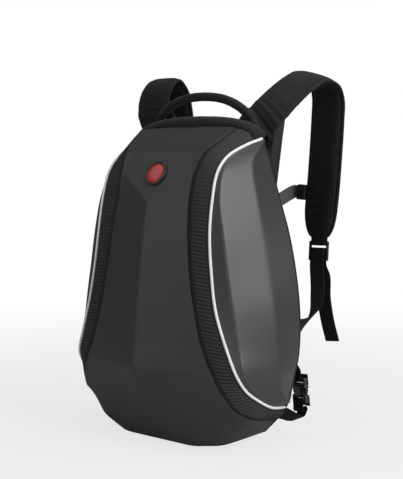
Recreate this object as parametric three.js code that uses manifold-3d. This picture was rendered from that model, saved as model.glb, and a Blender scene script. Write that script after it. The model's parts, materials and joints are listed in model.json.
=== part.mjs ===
// Hard shell backpack. Millimetres, +Z up, front towards -Y, origin at the centre of the flat base.
import * as THREE from 'three';
import { mergeVertices } from 'three/addons/utils/BufferGeometryUtils.js';
import Module from 'manifold-3d';

const wasm = await Module();
wasm.setup();

// Driving dimensions
const SHELL_WIDTH = 350;
const SHELL_HEIGHT = 450;
const SHELL_DEPTH = 155;
const BACK_Y = 55;
const SHELL_WALL = 2.5;
const BAND_WALL = 2;
const BAND_CROWN = 2;
const CLEARANCE = 0.3;
const SKIN_GAP = 0.5;
const MOST_DRAWN_BACK = 0.8;
const PIPING_DIAMETER = 4;
const ROLL_REACH = 110;
const ROLL_HEIGHT = 26;
const ROLL_DEPTH = 30;
const ROLL_END_SHARE = 0.6;
const BINDING_DEPTH = 5;
const BINDING_LAP = 14;
const OUTLINE_STEP = 9;
const PAD_THICKNESS = 12;
const PAD_MARGIN = 14;
const PAD_CHAMFER = 4;
const CLOTH_ROUNDNESS = 0.8;
const HANDLE_WIDTH = 13;
const HANDLE_DEPTH = 11;
const HANDLE_SPAN = 202;
const HANDLE_FOOT = 0.96;
const HANDLE_RISE = 62;
const HANDLE_LEAN = 6;
const HANDLE_BACKSET = 2;
const STRAP_REACH = 175;
const STRAP_WIDTH = 70;
const STRAP_THICKNESS = 12;
const STRAP_STEPS = 30;
const STRAP_ROUNDNESS = 0.5;
const STRAP_NARROWEST = 0.86;
const STRAP_DIP = { right: 0.3, left: 0 };
const DIP_END = 0.7;
const TIP_SHARE = 0.6;
const WING_FIRST_INDEX = 3;
const WING_LAST_INDEX = 6;
const WING_FOOT_INDEX = 2.5;
const WING_ROW_STEPS = 1.5;
const WING_WALL = 2.5;
const WEB_WIDTH = 25;
const WEB_THICKNESS = 1.8;
const WEB_STUB = 6;
const WEB_SLACK = 0.3;
const TURN_BULGE = 0.6;
const STERNUM_WEB_WIDTH = 20;
const LOCK_WIDTH = 35;
const LOCK_HEIGHT = 30;
const LOCK_BAR = 4;
const LOCK_THICKNESS = 4;
const TAB_LENGTH = 5;
const BUCKLE_LENGTH = 26;
const BUCKLE_RIM = 4;
const BUCKLE_THICKNESS = 9;
const BUCKLE_BAR = 3;
const BUCKLE_SLOT = 5;
const PRONG_LENGTH = 13;
const PRONG_WIDTH = 6;
const SLIDER_LENGTH = 16;
const SLIDER_HEIGHT = 24;
const SLIDER_THICKNESS = 8;
const BADGE_DROP = 2;
const BADGE_DIAMETER = 30;
const BEZEL_WIDTH = 3.5;
const BEZEL_HEIGHT = 3;
const BADGE_THICKNESS = 2;

// Sections of the shell, from the roll down to the base and under it to the back edge. Each name is a
// line that runs down the shell. x is a share of half the width, z of the height, and y of the depth,
// counted forwards from the back. The fold is a share of the way from the ridge to the panel edge, and
// the belly is how far the shell swells out between fold and edge, as a share of the depth.
const SECTIONS = [
  { ridge: [0.168, 1.002], fold: 0.5, edge: [0.503, 0.245, 0.993], piping: [0.669, 0.071, 0.958],
    brow: [0.663, 0.052, 0.957], hip: [0.651, 0.026, 0.953], seam: [0.64, 0.949] },
  { ridge: [0.374, 0.964], fold: 0.5, edge: [0.48, 0.406, 0.958], piping: [0.629, 0.245, 0.938],
    brow: [0.651, 0.181, 0.933], hip: [0.669, 0.116, 0.927], seam: [0.663, 0.924] },
  { ridge: [0.555, 0.916], fold: 0.5, edge: [0.417, 0.555, 0.916], piping: [0.594, 0.465, 0.902],
    brow: [0.629, 0.374, 0.9], hip: [0.68, 0.2, 0.896], seam: [0.686, 0.898] },
  { ridge: [0.652, 0.853], fold: 0.96, edge: [0.389, 0.652, 0.853], piping: [0.589, 0.6, 0.853],
    brow: [0.646, 0.529, 0.853], hip: [0.709, 0.226, 0.855], seam: [0.726, 0.853] },
  { ridge: [0.787, 0.764], fold: 0, edge: [0.383, 0.716, 0.764], piping: [0.594, 0.677, 0.769],
    brow: [0.686, 0.632, 0.771], hip: [0.771, 0.226, 0.767], seam: [0.8, 0.767] },
  { ridge: [0.839, 0.667], fold: 0.5, edge: [0.406, 0.761, 0.667], piping: [0.603, 0.723, 0.667],
    brow: [0.749, 0.645, 0.667], hip: [0.823, 0.226, 0.667], seam: [0.886, 0.667] },
  { ridge: [0.884, 0.556], fold: 0.5, edge: [0.44, 0.787, 0.556], piping: [0.634, 0.742, 0.556],
    brow: [0.789, 0.652, 0.556], hip: [0.88, 0.226, 0.556], seam: [0.954, 0.551] },
  { ridge: [0.923, 0.444], fold: 0.5, edge: [0.497, 0.8, 0.444], piping: [0.686, 0.755, 0.444],
    brow: [0.834, 0.652, 0.444], hip: [0.937, 0.226, 0.444], seam: [0.991, 0.449] },
  { ridge: [0.955, 0.333], fold: 0.5, edge: [0.577, 0.806, 0.333], piping: [0.783, 0.742, 0.333],
    brow: [0.874, 0.645, 0.333], hip: [0.974, 0.226, 0.333], seam: [1, 0.356] },
  { ridge: [0.99, 0.251], fold: 0, edge: [0.68, 0.794, 0.249], piping: [0.863, 0.71, 0.253],
    brow: [0.914, 0.639, 0.249], hip: [0.994, 0.226, 0.249], seam: [0.983, 0.276] },
  { ridge: [0.884, 0.167], fold: 0.155, belly: 0.01, edge: [0.752, 0.764, 0.191],
    piping: [0.891, 0.613, 0.204], brow: [0.931, 0.535, 0.2], hip: [0.989, 0.226, 0.209],
    seam: [0.949, 0.22] },
  { ridge: [0.774, 0.082], fold: 0.28, belly: 0.02, edge: [0.815, 0.672, 0.138],
    piping: [0.931, 0.484, 0.169], brow: [0.957, 0.387, 0.176], hip: [0.977, 0.2, 0.18],
    seam: [0.934, 0.191] },
  { ridge: [0.65, 0.004], fold: 0.42, belly: 0.07, edge: [0.876, 0.522, 0.111],
    piping: [0.937, 0.323, 0.142], brow: [0.954, 0.245, 0.153], hip: [0.96, 0.135, 0.16],
    seam: [0.92, 0.173] },
  { ridge: [0.45, 0], fold: 0.62, belly: 0.06, edge: [0.834, 0.29, 0.093], piping: [0.92, 0.181, 0.131],
    brow: [0.934, 0.135, 0.14], hip: [0.934, 0.077, 0.147], seam: [0.914, 0.16] },
  { ridge: [0.002, 0], fold: 0.66, belly: 0.035, edge: [0.768, 0.002, 0.067], piping: [0.874, 0.002, 0.12],
    brow: [0.886, 0.002, 0.13], hip: [0.9, 0.002, 0.139], seam: [0.909, 0.147] },
];
const BASE_INDEX = 12;
const ARCH_STEPS = 24;
const BETWEEN_STEPS = 2;

// Top of the back edge, from its middle outwards, as shares of half the width and of the height
const BACK_TOP_LINE = [{ x: 0, z: 0.991 }, { x: 0.34, z: 0.987 }, { x: 0.54, z: 0.971 }];

// Half of the roll's path: x as a share of its reach, y and z as shares of the shell's depth and height
const ROLL_PATH = [
  { x: 1, y: 0.052, z: 0.953 }, { x: 0.91, y: 0.068, z: 0.974 }, { x: 0.6, y: 0.09, z: 0.996 },
  { x: 0, y: 0.098, z: 1.005 },
];

// Half of the handle's path: shares of its half span, its lean and its rise
const HANDLE_PATH = [
  { x: 1, lean: 0, rise: 0 }, { x: 0.96, lean: 0, rise: 0.22 }, { x: 0.87, lean: 0.2, rise: 0.48 },
  { x: 0.68, lean: 0.55, rise: 0.74 }, { x: 0.4, lean: 0.85, rise: 0.93 }, { x: 0, lean: 1, rise: 1 },
];

// Paths of the shoulder straps, from root to tip: x as a share of half the shell's width, out as a share
// of the reach behind the seat, z as a share of the shell's height
const STRAP_PATHS = {
  right: [
    { x: 0.43, out: 0, z: 0.907 }, { x: 0.445, out: 0, z: 0.956 }, { x: 0.5, out: 0.026, z: 1.004 },
    { x: 0.57, out: 0.134, z: 1.058 }, { x: 0.6, out: 0.283, z: 1.104 }, { x: 0.62, out: 0.466, z: 1.147 },
    { x: 0.612, out: 0.67, z: 1.171 }, { x: 0.606, out: 0.85, z: 1.151 }, { x: 0.6, out: 0.925, z: 1.1 },
    { x: 0.594, out: 0.93, z: 1.033 }, { x: 0.592, out: 0.9, z: 0.896 }, { x: 0.58, out: 0.885, z: 0.79 },
    { x: 0.568, out: 0.875, z: 0.722 }, { x: 0.568, out: 0.862, z: 0.672 }, { x: 0.57, out: 0.85, z: 0.626 },
  ],
  left: [
    { x: -0.43, out: 0, z: 0.907 }, { x: -0.47, out: 0, z: 0.956 }, { x: -0.57, out: 0, z: 1.011 },
    { x: -0.64, out: 0.01, z: 1.07 }, { x: -0.65, out: 0.06, z: 1.13 }, { x: -0.645, out: 0.175, z: 1.167 },
    { x: -0.63, out: 0.275, z: 1.13 }, { x: -0.615, out: 0.305, z: 1.07 },
    { x: -0.594, out: 0.32, z: 0.978 },
    { x: -0.583, out: 0.355, z: 0.844 }, { x: -0.577, out: 0.38, z: 0.7 },
    { x: -0.571, out: 0.395, z: 0.55 }, { x: -0.571, out: 0.4, z: 0.42 },
  ],
};

// Routes of the webbing: x as a share of half the shell's width, out as a share of the reach behind the
// straps' seat, z as a share of the shell's height. A run or waist web starts on the rear binding.
const WEB_ROUTES = {
  lower_run_right: [{ x: 0.96, z: 0.373 }, { x: 0.954, out: 0.09, z: 0.382 },
    { x: 0.869, out: 0.353, z: 0.409 }, { x: 0.646, out: 0.713, z: 0.458 }],
  tail_right: [{ x: 0.59, out: 0.89, z: 0.493 }, { x: 0.6, out: 0.885, z: 0.42 },
    { x: 0.622, out: 0.91, z: 0.34 }, { x: 0.643, out: 0.965, z: 0.264 }],
  lower_run_left: [{ x: -0.96, z: 0.373 }, { x: -0.954, out: 0.067, z: 0.369 },
    { x: -0.846, out: 0.238, z: 0.324 }, { x: -0.651, out: 0.341, z: 0.276 }],
  tail_left: [{ x: -0.577, out: 0.444, z: 0.3 }, { x: -0.583, out: 0.461, z: 0.233 },
    { x: -0.589, out: 0.467, z: 0.167 }, { x: -0.594, out: 0.467, z: 0.116 }],
  waist_right: [{ x: 0.785, z: 0.089 }, { x: 0.8, out: 0.044, z: 0.08 },
    { x: 0.815, out: 0.12, z: 0.066 }, { x: 0.82, out: 0.19, z: 0.062 },
    { x: 0.82, out: 0.235, z: 0.088 }],
  waist_left: [{ x: -0.797, z: 0.0933 }, { x: -0.811, out: 0.055, z: 0.089 },
    { x: -0.834, out: 0.193, z: 0.107 }, { x: -0.811, out: 0.29, z: 0.164 },
    { x: -0.686, out: 0.33, z: 0.218 }, { x: -0.4, out: 0.325, z: 0.24 },
    { x: 0, out: 0.29, z: 0.248 }, { x: 0.35, out: 0.255, z: 0.248 }, { x: 0.58, out: 0.24, z: 0.238 }],
};
// The frame of each shoulder strap that its sternum slider sits beside
const STERNUM_INDEX = { right: 24, left: 22 };

// Middle of each fastened buckle in the same shares, its direction from female to male half, and its
// width direction
const BUCKLE_PLACES = {
  waist: { at: { x: 0.79, out: 0.245, z: 0.164 }, along: [-0.12, 0.02, 1], side: [0.93, -0.36, 0.12] },
  sternum: {
    at: { x: 0.023, out: 0.661, z: 0.709 }, along: [-0.66, -0.59, -0.5], side: [-0.3, -0.28, 0.85],
  },
};

const red = material(0xb3202a, 0.4, 0.1);
const shellGrey = material(0x4c4c4e, 0.55, 0.1);
const sideGrey = material(0x57575a, 0.45, 0.15);
const bandGrey = material(0x2f2f31, 0.9, 0);
const clothBlack = material(0x242426, 0.9, 0);
const webBlack = material(0x1c1c1e, 0.8, 0);
const plasticBlack = material(0x161617, 0.4, 0);
const webGrey = material(0x8a8a8c, 0.8, 0);
const pipingWhite = material(0xf2f2f2, 0.5, 0);

function material(color, roughness, metalness) {
  return new THREE.MeshStandardMaterial({ color, roughness, metalness });
}

const vec = (x, y, z) => new THREE.Vector3(x, y, z);
const mirrored = (p) => vec(-p.x, p.y, p.z);
const towards = (a, b, distance) => a.clone().add(b.clone().sub(a).setLength(distance));

function bodyPoint([x, y, z]) {
  return vec(x * SHELL_WIDTH / 2, BACK_Y - y * SHELL_DEPTH, z * SHELL_HEIGHT);
}

// A closed geometry from triangles of points, with shared points merged, facing outwards.
function solidOf(triangles) {
  const numbers = triangles.flat().flatMap((p) => [p.x, p.y, p.z]);
  const loose = new THREE.BufferGeometry();
  loose.setAttribute('position', new THREE.Float32BufferAttribute(numbers, 3));
  const geometry = mergeVertices(loose, 1e-3);
  const corners = geometry.index.array;
  const kept = [];
  for (let i = 0; i < corners.length; i += 3) {
    const [a, b, c] = corners.slice(i, i + 3);
    if (a !== b && b !== c && a !== c) kept.push(a, b, c);
  }
  geometry.setIndex(signedVolume(geometry, kept) < 0 ? kept.reverse() : kept);
  return geometry;
}

function signedVolume(geometry, corners) {
  const at = (i) => vec(0, 0, 0).fromBufferAttribute(geometry.attributes.position, i);
  let volume = 0;
  for (let i = 0; i < corners.length; i += 3) {
    volume += at(corners[i]).dot(at(corners[i + 1]).cross(at(corners[i + 2]))) / 6;
  }
  return volume;
}

function quad(a, b, c, d) {
  return [[a, b, c], [a, c, d]];
}

// The faces between neighbouring rings. The two halves of a ring are split along opposite diagonals,
// so that the two faces of a twisted sheet bend alike and never cross.
function ringWalls(rings) {
  const triangles = [];
  for (let i = 0; i + 1 < rings.length; i += 1) {
    const [here, next] = [rings[i], rings[i + 1]];
    here.forEach((p, j) => {
      const k = (j + 1) % here.length;
      triangles.push(...(j < here.length / 2
        ? quad(p, here[k], next[k], next[j]) : quad(here[k], next[k], next[j], p)));
    });
  }
  return triangles;
}

// A solid through a row of rings with the same number of points, capped at both ends.
function loft(rings) {
  const cap = (ring, flip) => ring.slice(1, -1).map((p, j) => (
    flip ? [ring[0], ring[j + 2], p] : [ring[0], p, ring[j + 2]]));
  return solidOf([...ringWalls(rings), ...cap(rings[0], true), ...cap(rings.at(-1), false)]);
}

// A wall between an outer and an inner grid of points.
function wallSolid(outer, inner) {
  const rings = outer.map((row, i) => [...row, ...inner[i].slice().reverse()]);
  const width = outer[0].length;
  const cap = (ring, flip) => ring.slice(0, width - 1).flatMap((p, j) => {
    const corners = [p, ring[2 * width - 1 - j], ring[2 * width - 2 - j], ring[j + 1]];
    return quad(...(flip ? corners : corners.reverse()));
  });
  return solidOf([...ringWalls(rings), ...cap(rings[0], true), ...cap(rings.at(-1), false)]);
}

function manifoldOf(geometry) {
  const mesh = new wasm.Mesh({
    numProp: 3,
    vertProperties: Float32Array.from(geometry.attributes.position.array),
    triVerts: Uint32Array.from(geometry.index.array),
  });
  return new wasm.Manifold(mesh);
}

function geometryOf(manifold) {
  const { vertProperties, triVerts } = manifold.getMesh();
  const geometry = new THREE.BufferGeometry();
  geometry.setAttribute('position', new THREE.BufferAttribute(vertProperties, 3));
  geometry.setIndex([...triVerts]);
  return geometry;
}

// A three.js primitive with its shared points merged.
function plain(geometry) {
  geometry.deleteAttribute('normal');
  geometry.deleteAttribute('uv');
  return mergeVertices(geometry, 1e-3);
}

function cut(geometry, ...tools) {
  return geometryOf(tools.reduce((left, tool) => left.subtract(manifoldOf(tool)), manifoldOf(geometry)));
}

// The shell's lines, refined between the sections: straight along ridge and fold, curved elsewhere.
function shellLines() {
  const column = (name) => SECTIONS.map((section) => bodyPoint(section[name]));
  const steps = (SECTIONS.length - 1) * BETWEEN_STEPS;
  const curved = (points) => {
    const curve = new THREE.CatmullRomCurve3(points, false, 'centripetal');
    return Array.from({ length: steps + 1 }, (_, i) => curve.getPoint(i / steps));
  };
  const straight = (points) => Array.from({ length: steps + 1 }, (_, i) => {
    const k = Math.min(Math.floor(i / BETWEEN_STEPS), points.length - 2);
    return points[k].clone().lerp(points[k + 1], i / BETWEEN_STEPS - k);
  });
  const ridge = SECTIONS.map(({ ridge: [y, z] }) => bodyPoint([0, y, z]));
  const edge = column('edge');
  const fold = SECTIONS.map(({ fold: share }, i) => (i < BASE_INDEX
    ? ridge[i].clone().lerp(edge[i], share)
    : vec(edge[i].x * share, ridge[i].y, ridge[i].z)));
  const belly = SECTIONS.map(({ belly: swell = 0 }, i) => {
    const out = vec(0.7, i + 1 < SECTIONS.length ? -0.4 : 0, -0.7).normalize();
    return fold[i].clone().lerp(edge[i], 0.5).addScaledVector(out, swell * SHELL_DEPTH);
  });
  const seam = SECTIONS.map(({ seam: [x, z] }) => bodyPoint([x, 0.002, z]));
  return {
    ridge: straight(ridge), fold: straight(fold), belly: straight(belly), edge: curved(edge),
    piping: curved(column('piping')), brow: curved(column('brow')), hip: curved(column('hip')),
    seam: curved(seam),
  };
}

// Column positions of the half skin
const EDGE_INDEX = 3;
const PIPING_INDEX = 5;
const SIDE_STEPS = 6;
const SEAM_INDEX = PIPING_INDEX + SIDE_STEPS;

function halfSkin(lines) {
  return lines.ridge.map((ridge, i) => {
    const { fold, belly, edge, piping, brow, hip, seam } = Object.fromEntries(
      Object.entries(lines).map(([name, points]) => [name, points[i]]),
    );
    const outwards = piping.clone().sub(edge).cross(vec(0, 0, 1)).setLength(BAND_CROWN);
    const crown = edge.clone().lerp(piping, 0.5).add(outwards.y > 0 ? outwards.negate() : outwards);
    const across = new THREE.CatmullRomCurve3([piping, brow, hip, seam], false, 'centripetal');
    const side = Array.from({ length: SIDE_STEPS }, (_, j) => across.getPoint((j + 1) / SIDE_STEPS));
    return [ridge, fold, belly, edge, crown, piping, ...side];
  });
}

function wholeSkin(half) {
  return half.map((row) => [...row.slice(1).reverse().map(mirrored), ...row]);
}

// Unit normals of a grid, averaged over all the faces that meet at the same place.
function gridNormals(grid, inside) {
  const sums = new Map();
  const key = (p) => [p.x, p.y, p.z].map((v) => Math.round(v * 100)).join();
  const add = (a, b, c) => {
    const normal = b.clone().sub(a).cross(c.clone().sub(a));
    [a, b, c].forEach((p) => sums.set(key(p), (sums.get(key(p)) ?? vec(0, 0, 0)).add(normal)));
  };
  for (let i = 0; i + 1 < grid.length; i += 1) {
    for (let j = 0; j + 1 < grid[i].length; j += 1) {
      const [a, b, c, d] = [grid[i][j], grid[i][j + 1], grid[i + 1][j + 1], grid[i + 1][j]];
      add(a, b, c);
      add(a, c, d);
    }
  }
  return grid.map((row) => row.map((p) => {
    const normal = sums.get(key(p)).clone().normalize();
    return normal.dot(p.clone().sub(inside)) < 0 ? normal.negate() : normal;
  }));
}

const lines = shellLines();
const skin = wholeSkin(halfSkin(lines));
const skinMiddle = vec(0, BACK_Y, SHELL_HEIGHT / 2);
// Along the back edge the wall's thickness stays in the plane of that edge.
const normals = gridNormals(skin, skinMiddle).map((row, i) => row.map((normal, j) => (
  i === skin.length - 1 || j === 0 || j === row.length - 1 ? normal.setY(0).normalize() : normal)));
const CENTRE_INDEX = SEAM_INDEX;

// A point of the skin moved towards a neighbouring column until it is a gap away from its own column.
function drawnBack(i, column, neighbour, gap) {
  const p = skin[i][column];
  const along = skin[Math.min(i + 1, skin.length - 1)][column].clone()
    .sub(skin[Math.max(i - 1, 0)][column]).normalize();
  const across = skin[i][neighbour].clone().sub(p).normalize();
  const most = MOST_DRAWN_BACK * p.distanceTo(skin[i][neighbour]);
  return towards(p, skin[i][neighbour], Math.min(gap / across.cross(along).length(), most));
}

// A wall of the skin between two columns, drawn back from its neighbours.
function skinWall(first, last, wall, startGap, endGap) {
  const outer = skin.map((row, i) => [
    drawnBack(i, first, first + 1, startGap),
    ...row.slice(first + 1, last),
    drawnBack(i, last, last - 1, endGap),
  ]);
  const inner = outer.map((row, i) => row.map((p, j) => (
    p.clone().addScaledVector(normals[i][first + j], -wall))));
  return wallSolid(outer, inner);
}

// The whole skin, thicker by the clearance on both faces and at its top.
function skinClearance() {
  const grown = skin.map((row, i) => row.map((p) => (
    i === 0 ? towards(p, skin[1][row.indexOf(p)], -CLEARANCE) : p)));
  const moved = (distance) => grown.map((row, i) => row.map((p, j) => (
    p.clone().addScaledVector(normals[i][j], distance))));
  return wallSolid(moved(CLEARANCE), moved(-SHELL_WALL - CLEARANCE));
}

function smooth(points, steps) {
  const curve = new THREE.CatmullRomCurve3(points, false, 'centripetal');
  return Array.from({ length: steps + 1 }, (_, i) => curve.getPoint(i / steps));
}

// A smooth path through the points of one half and their mirror image.
function bothHalves(half, steps) {
  return smooth([...half, ...half.slice(0, -1).reverse().map(mirrored)], steps);
}

// Frames along a path: a tangent, a side kept near the wanted one, and the face normal.
function frames(path, wantedSide) {
  return path.map((p, i) => {
    const tangent = path[Math.min(i + 1, path.length - 1)].clone()
      .sub(path[Math.max(i - 1, 0)]).normalize();
    const wanted = wantedSide(i / (path.length - 1));
    const side = wanted.clone().addScaledVector(tangent, -wanted.dot(tangent)).normalize();
    return { at: p, tangent, side, face: tangent.clone().cross(side) };
  });
}

// Points round a section with rounded corners, as shares of its half width and half thickness.
function ring(frame, halfWidth, halfThickness, roundness, sides) {
  return Array.from({ length: sides }, (_, k) => {
    const angle = 2 * Math.PI * (k + 0.5) / sides;
    const bend = (v) => Math.sign(v) * Math.abs(v) ** roundness;
    return frame.at.clone()
      .addScaledVector(frame.side, halfWidth * bend(Math.cos(angle)))
      .addScaledVector(frame.face, halfThickness * bend(Math.sin(angle)));
  });
}

function ribbonRing(frame, width, thickness) {
  const corner = (a, b) => frame.at.clone()
    .addScaledVector(frame.side, a * width / 2)
    .addScaledVector(frame.face, b * thickness / 2);
  return [corner(-1, -1), corner(1, -1), corner(1, 1), corner(-1, 1)];
}

function ribbon(path, wantedSide, width, thickness) {
  return loft(frames(path, wantedSide).map((frame) => ribbonRing(frame, width, thickness)));
}

const parts = new THREE.Group();

function put(name, geometry, look) {
  const mesh = new THREE.Mesh(geometry, look);
  mesh.name = name;
  parts.add(mesh);
  return mesh;
}

// Outline of the back edge, as points in x and z from the middle of the top round to the base
function backOutline() {
  const last = skin.at(-1).slice(CENTRE_INDEX);
  const right = [
    ...BACK_TOP_LINE.map(({ x, z }) => bodyPoint([x, 0, z])),
    ...skin.map((row) => row[CENTRE_INDEX + SEAM_INDEX]),
    ...[PIPING_INDEX, EDGE_INDEX, EDGE_INDEX - 1, 1].map((column) => last[column]),
  ].map((p) => new THREE.Vector2(p.x, p.z)).reduce((kept, p) => (
    kept.length && kept.at(-1).distanceTo(p) < OUTLINE_STEP ? kept : [...kept, p]), []);
  const left = right.slice(1).reverse().map((p) => new THREE.Vector2(-p.x, p.y));
  return [...right, ...left];
}

// The outline moved inwards, each point along the mean normal of its two edges.
function inset(outline, distance) {
  const middle = new THREE.Vector2(0, SHELL_HEIGHT / 2);
  return outline.map((p, i) => {
    const before = outline[(i + outline.length - 1) % outline.length];
    const after = outline[(i + 1) % outline.length];
    const along = after.clone().sub(before).normalize();
    const normal = new THREE.Vector2(-along.y, along.x);
    if (normal.dot(middle.clone().sub(p)) < 0) normal.negate();
    return p.clone().addScaledVector(normal, distance);
  });
}

// A plate in the x-z plane from an outline, between two places in y.
function plate(edge, from, to, hole) {
  const shape = new THREE.Shape(edge);
  if (hole) shape.holes.push(new THREE.Path(hole.slice().reverse()));
  const geometry = new THREE.ExtrudeGeometry(shape, { depth: to - from, bevelEnabled: false, steps: 1 });
  return plain(geometry.rotateX(Math.PI / 2).translate(0, to, 0));
}

const outline = backOutline();
const bindingEnd = BACK_Y + BINDING_DEPTH;
const padTop = STRAP_PATHS.right[0].z * SHELL_HEIGHT - CLEARANCE;
const below = (points, top) => points.map((p) => new THREE.Vector2(p.x, Math.min(p.y, top)));
const bindingHole = below(inset(outline, BINDING_LAP), padTop - BINDING_LAP);
put('rear_binding', plate(outline, BACK_Y, bindingEnd, bindingHole), bandGrey);

const bindingKeepOut = plate(inset(outline, -CLEARANCE), BACK_Y - CLEARANCE, bindingEnd + CLEARANCE);

// Shell, bands and piping
const pipingSeat = PIPING_DIAMETER / 2 + CLEARANCE;
const halfGap = SKIN_GAP / 2;
const leftCut = CENTRE_INDEX - EDGE_INDEX;
const rightCut = CENTRE_INDEX + EDGE_INDEX;
const pipingCut = CENTRE_INDEX + PIPING_INDEX;
put('front_shell', skinWall(leftCut, rightCut, SHELL_WALL, halfGap, halfGap), shellGrey);

for (const [name, flip] of [['right', false], ['left', true]]) {
  const band = skinWall(rightCut, pipingCut, BAND_WALL, halfGap, pipingSeat);
  const sideWall = skinWall(pipingCut, CENTRE_INDEX + SEAM_INDEX, SHELL_WALL, pipingSeat, 0);
  const side = cut(sideWall, pipingCord(PIPING_DIAMETER / 2 + CLEARANCE));
  const cord = cut(pipingCord(PIPING_DIAMETER / 2), bindingKeepOut);
  for (const [piece, geometry, look] of [['zip_band', band, bandGrey],
    ['side_shell', side, sideGrey], ['piping', cord, pipingWhite]]) {
    put(`${piece}_${name}`, flip ? mirror(geometry) : geometry, look);
  }
}

function mirror(geometry) {
  const copy = geometry.clone().scale(-1, 1, 1);
  copy.setIndex([...copy.index.array].reverse());
  return copy;
}

function pipingCord(radius) {
  const path = skin.map((row) => row[CENTRE_INDEX + PIPING_INDEX]);
  const at = frames(path, () => vec(1, 0, 0));
  return loft(at.map((frame) => ring(frame, radius, radius, 1, 8)));
}

// Top roll, cut clear of the skin that it lies on
const rollPath = bothHalves(ROLL_PATH.map(({ x, y, z }) => (
  bodyPoint([x, y, z]).setX(x * ROLL_REACH))), ARCH_STEPS);
const rollRings = frames(rollPath, () => vec(0, 1, 0)).map((frame, i, all) => {
  const swell = i === 0 || i === all.length - 1 ? ROLL_END_SHARE : 1;
  return ring(frame, swell * ROLL_DEPTH / 2, swell * ROLL_HEIGHT / 2, CLOTH_ROUNDNESS, 12);
});
// Padded back panel, with chamfered edges and a flat rear face
const padFront = bindingEnd + CLEARANCE;
const padBack = padFront + PAD_THICKNESS;
const padOutline = below(inset(outline, PAD_MARGIN), padTop);
const padRing = (points, y) => points.map((p) => vec(p.x, y, p.y));
put('back_panel', loft([
  padRing(inset(padOutline, PAD_CHAMFER / 2), padFront),
  padRing(padOutline, padFront + PAD_CHAMFER / 2),
  padRing(padOutline, padBack - PAD_CHAMFER),
  padRing(inset(padOutline, PAD_CHAMFER), padBack),
]), clothBlack);

// Grab handle, standing on the binding behind the roll
const handleSeat = bindingEnd - HANDLE_DEPTH / 2 + HANDLE_BACKSET;
const handleFoot = HANDLE_FOOT * SHELL_HEIGHT;
const handlePath = bothHalves(HANDLE_PATH.map(({ x, lean, rise }) => vec(
  x * HANDLE_SPAN / 2, handleSeat - lean * HANDLE_LEAN, handleFoot + rise * HANDLE_RISE)), ARCH_STEPS);
const handleLoft = (extra) => loft(frames(handlePath, () => vec(0, 1, 0)).map((frame) => (
  ring(frame, HANDLE_DEPTH / 2 + extra, HANDLE_WIDTH / 2 + extra, CLOTH_ROUNDNESS, 10))));
put('handle', cut(handleLoft(0), bindingKeepOut), clothBlack);

const cordKeepOut = pipingCord(PIPING_DIAMETER / 2 + CLEARANCE);
put('top_roll', cut(loft(rollRings), skinClearance(), cordKeepOut, mirror(cordKeepOut),
  bindingKeepOut, handleLoft(CLEARANCE)), clothBlack);

// Shoulder straps, with the width across and the tip rounded off
const strapSeat = handleSeat + HANDLE_DEPTH / 2 + CLEARANCE + STRAP_THICKNESS / 2;

// A point behind the straps' seat, from shares of half the width, of the reach and of the height.
function behindSeat({ x, out, z }) {
  return vec(x * SHELL_WIDTH / 2, strapSeat + out * STRAP_REACH, z * SHELL_HEIGHT);
}

// Over the shoulder a strap dips outwards, and it is level again from its front run on.
function strapFrames(side) {
  const dip = (t) => -STRAP_DIP[side] * Math.sin(Math.PI * Math.min(t / DIP_END, 1));
  return frames(smooth(STRAP_PATHS[side].map(behindSeat), STRAP_STEPS), (t) => vec(1, 0, dip(t)));
}

// A strap is widest at its root and narrows until it is over the shoulder.
function strapWidth(station) {
  const narrowed = THREE.MathUtils.smoothstep(station / STRAP_STEPS, 0.1, 0.4);
  return STRAP_WIDTH * THREE.MathUtils.lerp(1, STRAP_NARROWEST, narrowed);
}

function shoulderStrap(side) {
  const all = strapFrames(side);
  return loft(all.map((frame, i) => {
    const fromTip = all.length - 1 - i;
    const width = strapWidth(i) * (fromTip === 0 ? TIP_SHARE : fromTip === 1 ? (1 + TIP_SHARE) / 2 : 1);
    const section = ring(frame, width / 2, STRAP_THICKNESS / 2, STRAP_ROUNDNESS, 12);
    return i === 0 ? section.map((p) => p.setZ(frame.at.z)) : section;
  }));
}

// Flat cloth gusset between the binding and the outer edge of a strap's root.
function strapWing(side) {
  const sign = side === 'right' ? 1 : -1;
  const edge = strapFrames(side).slice(WING_FIRST_INDEX, WING_LAST_INDEX + 1).map((frame, i) => {
    const beside = sign * (strapWidth(WING_FIRST_INDEX + i) / 2 + SKIN_GAP);
    return frame.at.clone().addScaledVector(frame.side, beside).add(vec(0, -WING_WALL / 2, 0));
  });
  const rows = edge.map((top, i) => {
    const seam = skin[Math.round(WING_FOOT_INDEX + i * WING_ROW_STEPS)][CENTRE_INDEX + SEAM_INDEX];
    const footX = Math.max(seam.x - WING_WALL, sign * edge[0].x);
    const foot = vec(sign * footX, bindingEnd + CLEARANCE, seam.z);
    return [0, 0.5, 1].map((t) => foot.clone().lerp(top, t));
  });
  const rear = rows.map((row) => row.map((p) => p.clone().add(vec(0, WING_WALL, 0))));
  return wallSolid(rows, rear);
}

// Ladder lock: a frame with two slots, at the tip of a strap
function slottedFrame(width, height, thickness, bar, holes) {
  const shape = new THREE.Shape(rectangle(-width / 2, -height / 2, width / 2, height / 2));
  const hole = (height - bar * (holes + 1)) / holes;
  for (let k = 0; k < holes; k += 1) {
    const low = -height / 2 + bar + k * (hole + bar);
    shape.holes.push(new THREE.Path(rectangle(-width / 2 + bar, low, width / 2 - bar, low + hole)));
  }
  const geometry = new THREE.ExtrudeGeometry(shape, { depth: thickness, bevelEnabled: false });
  return plain(geometry.translate(0, 0, -thickness / 2));
}

function rectangle(left, low, right, high) {
  return [[left, low], [right, low], [right, high], [left, high]].map(([x, y]) => new THREE.Vector2(x, y));
}

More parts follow.
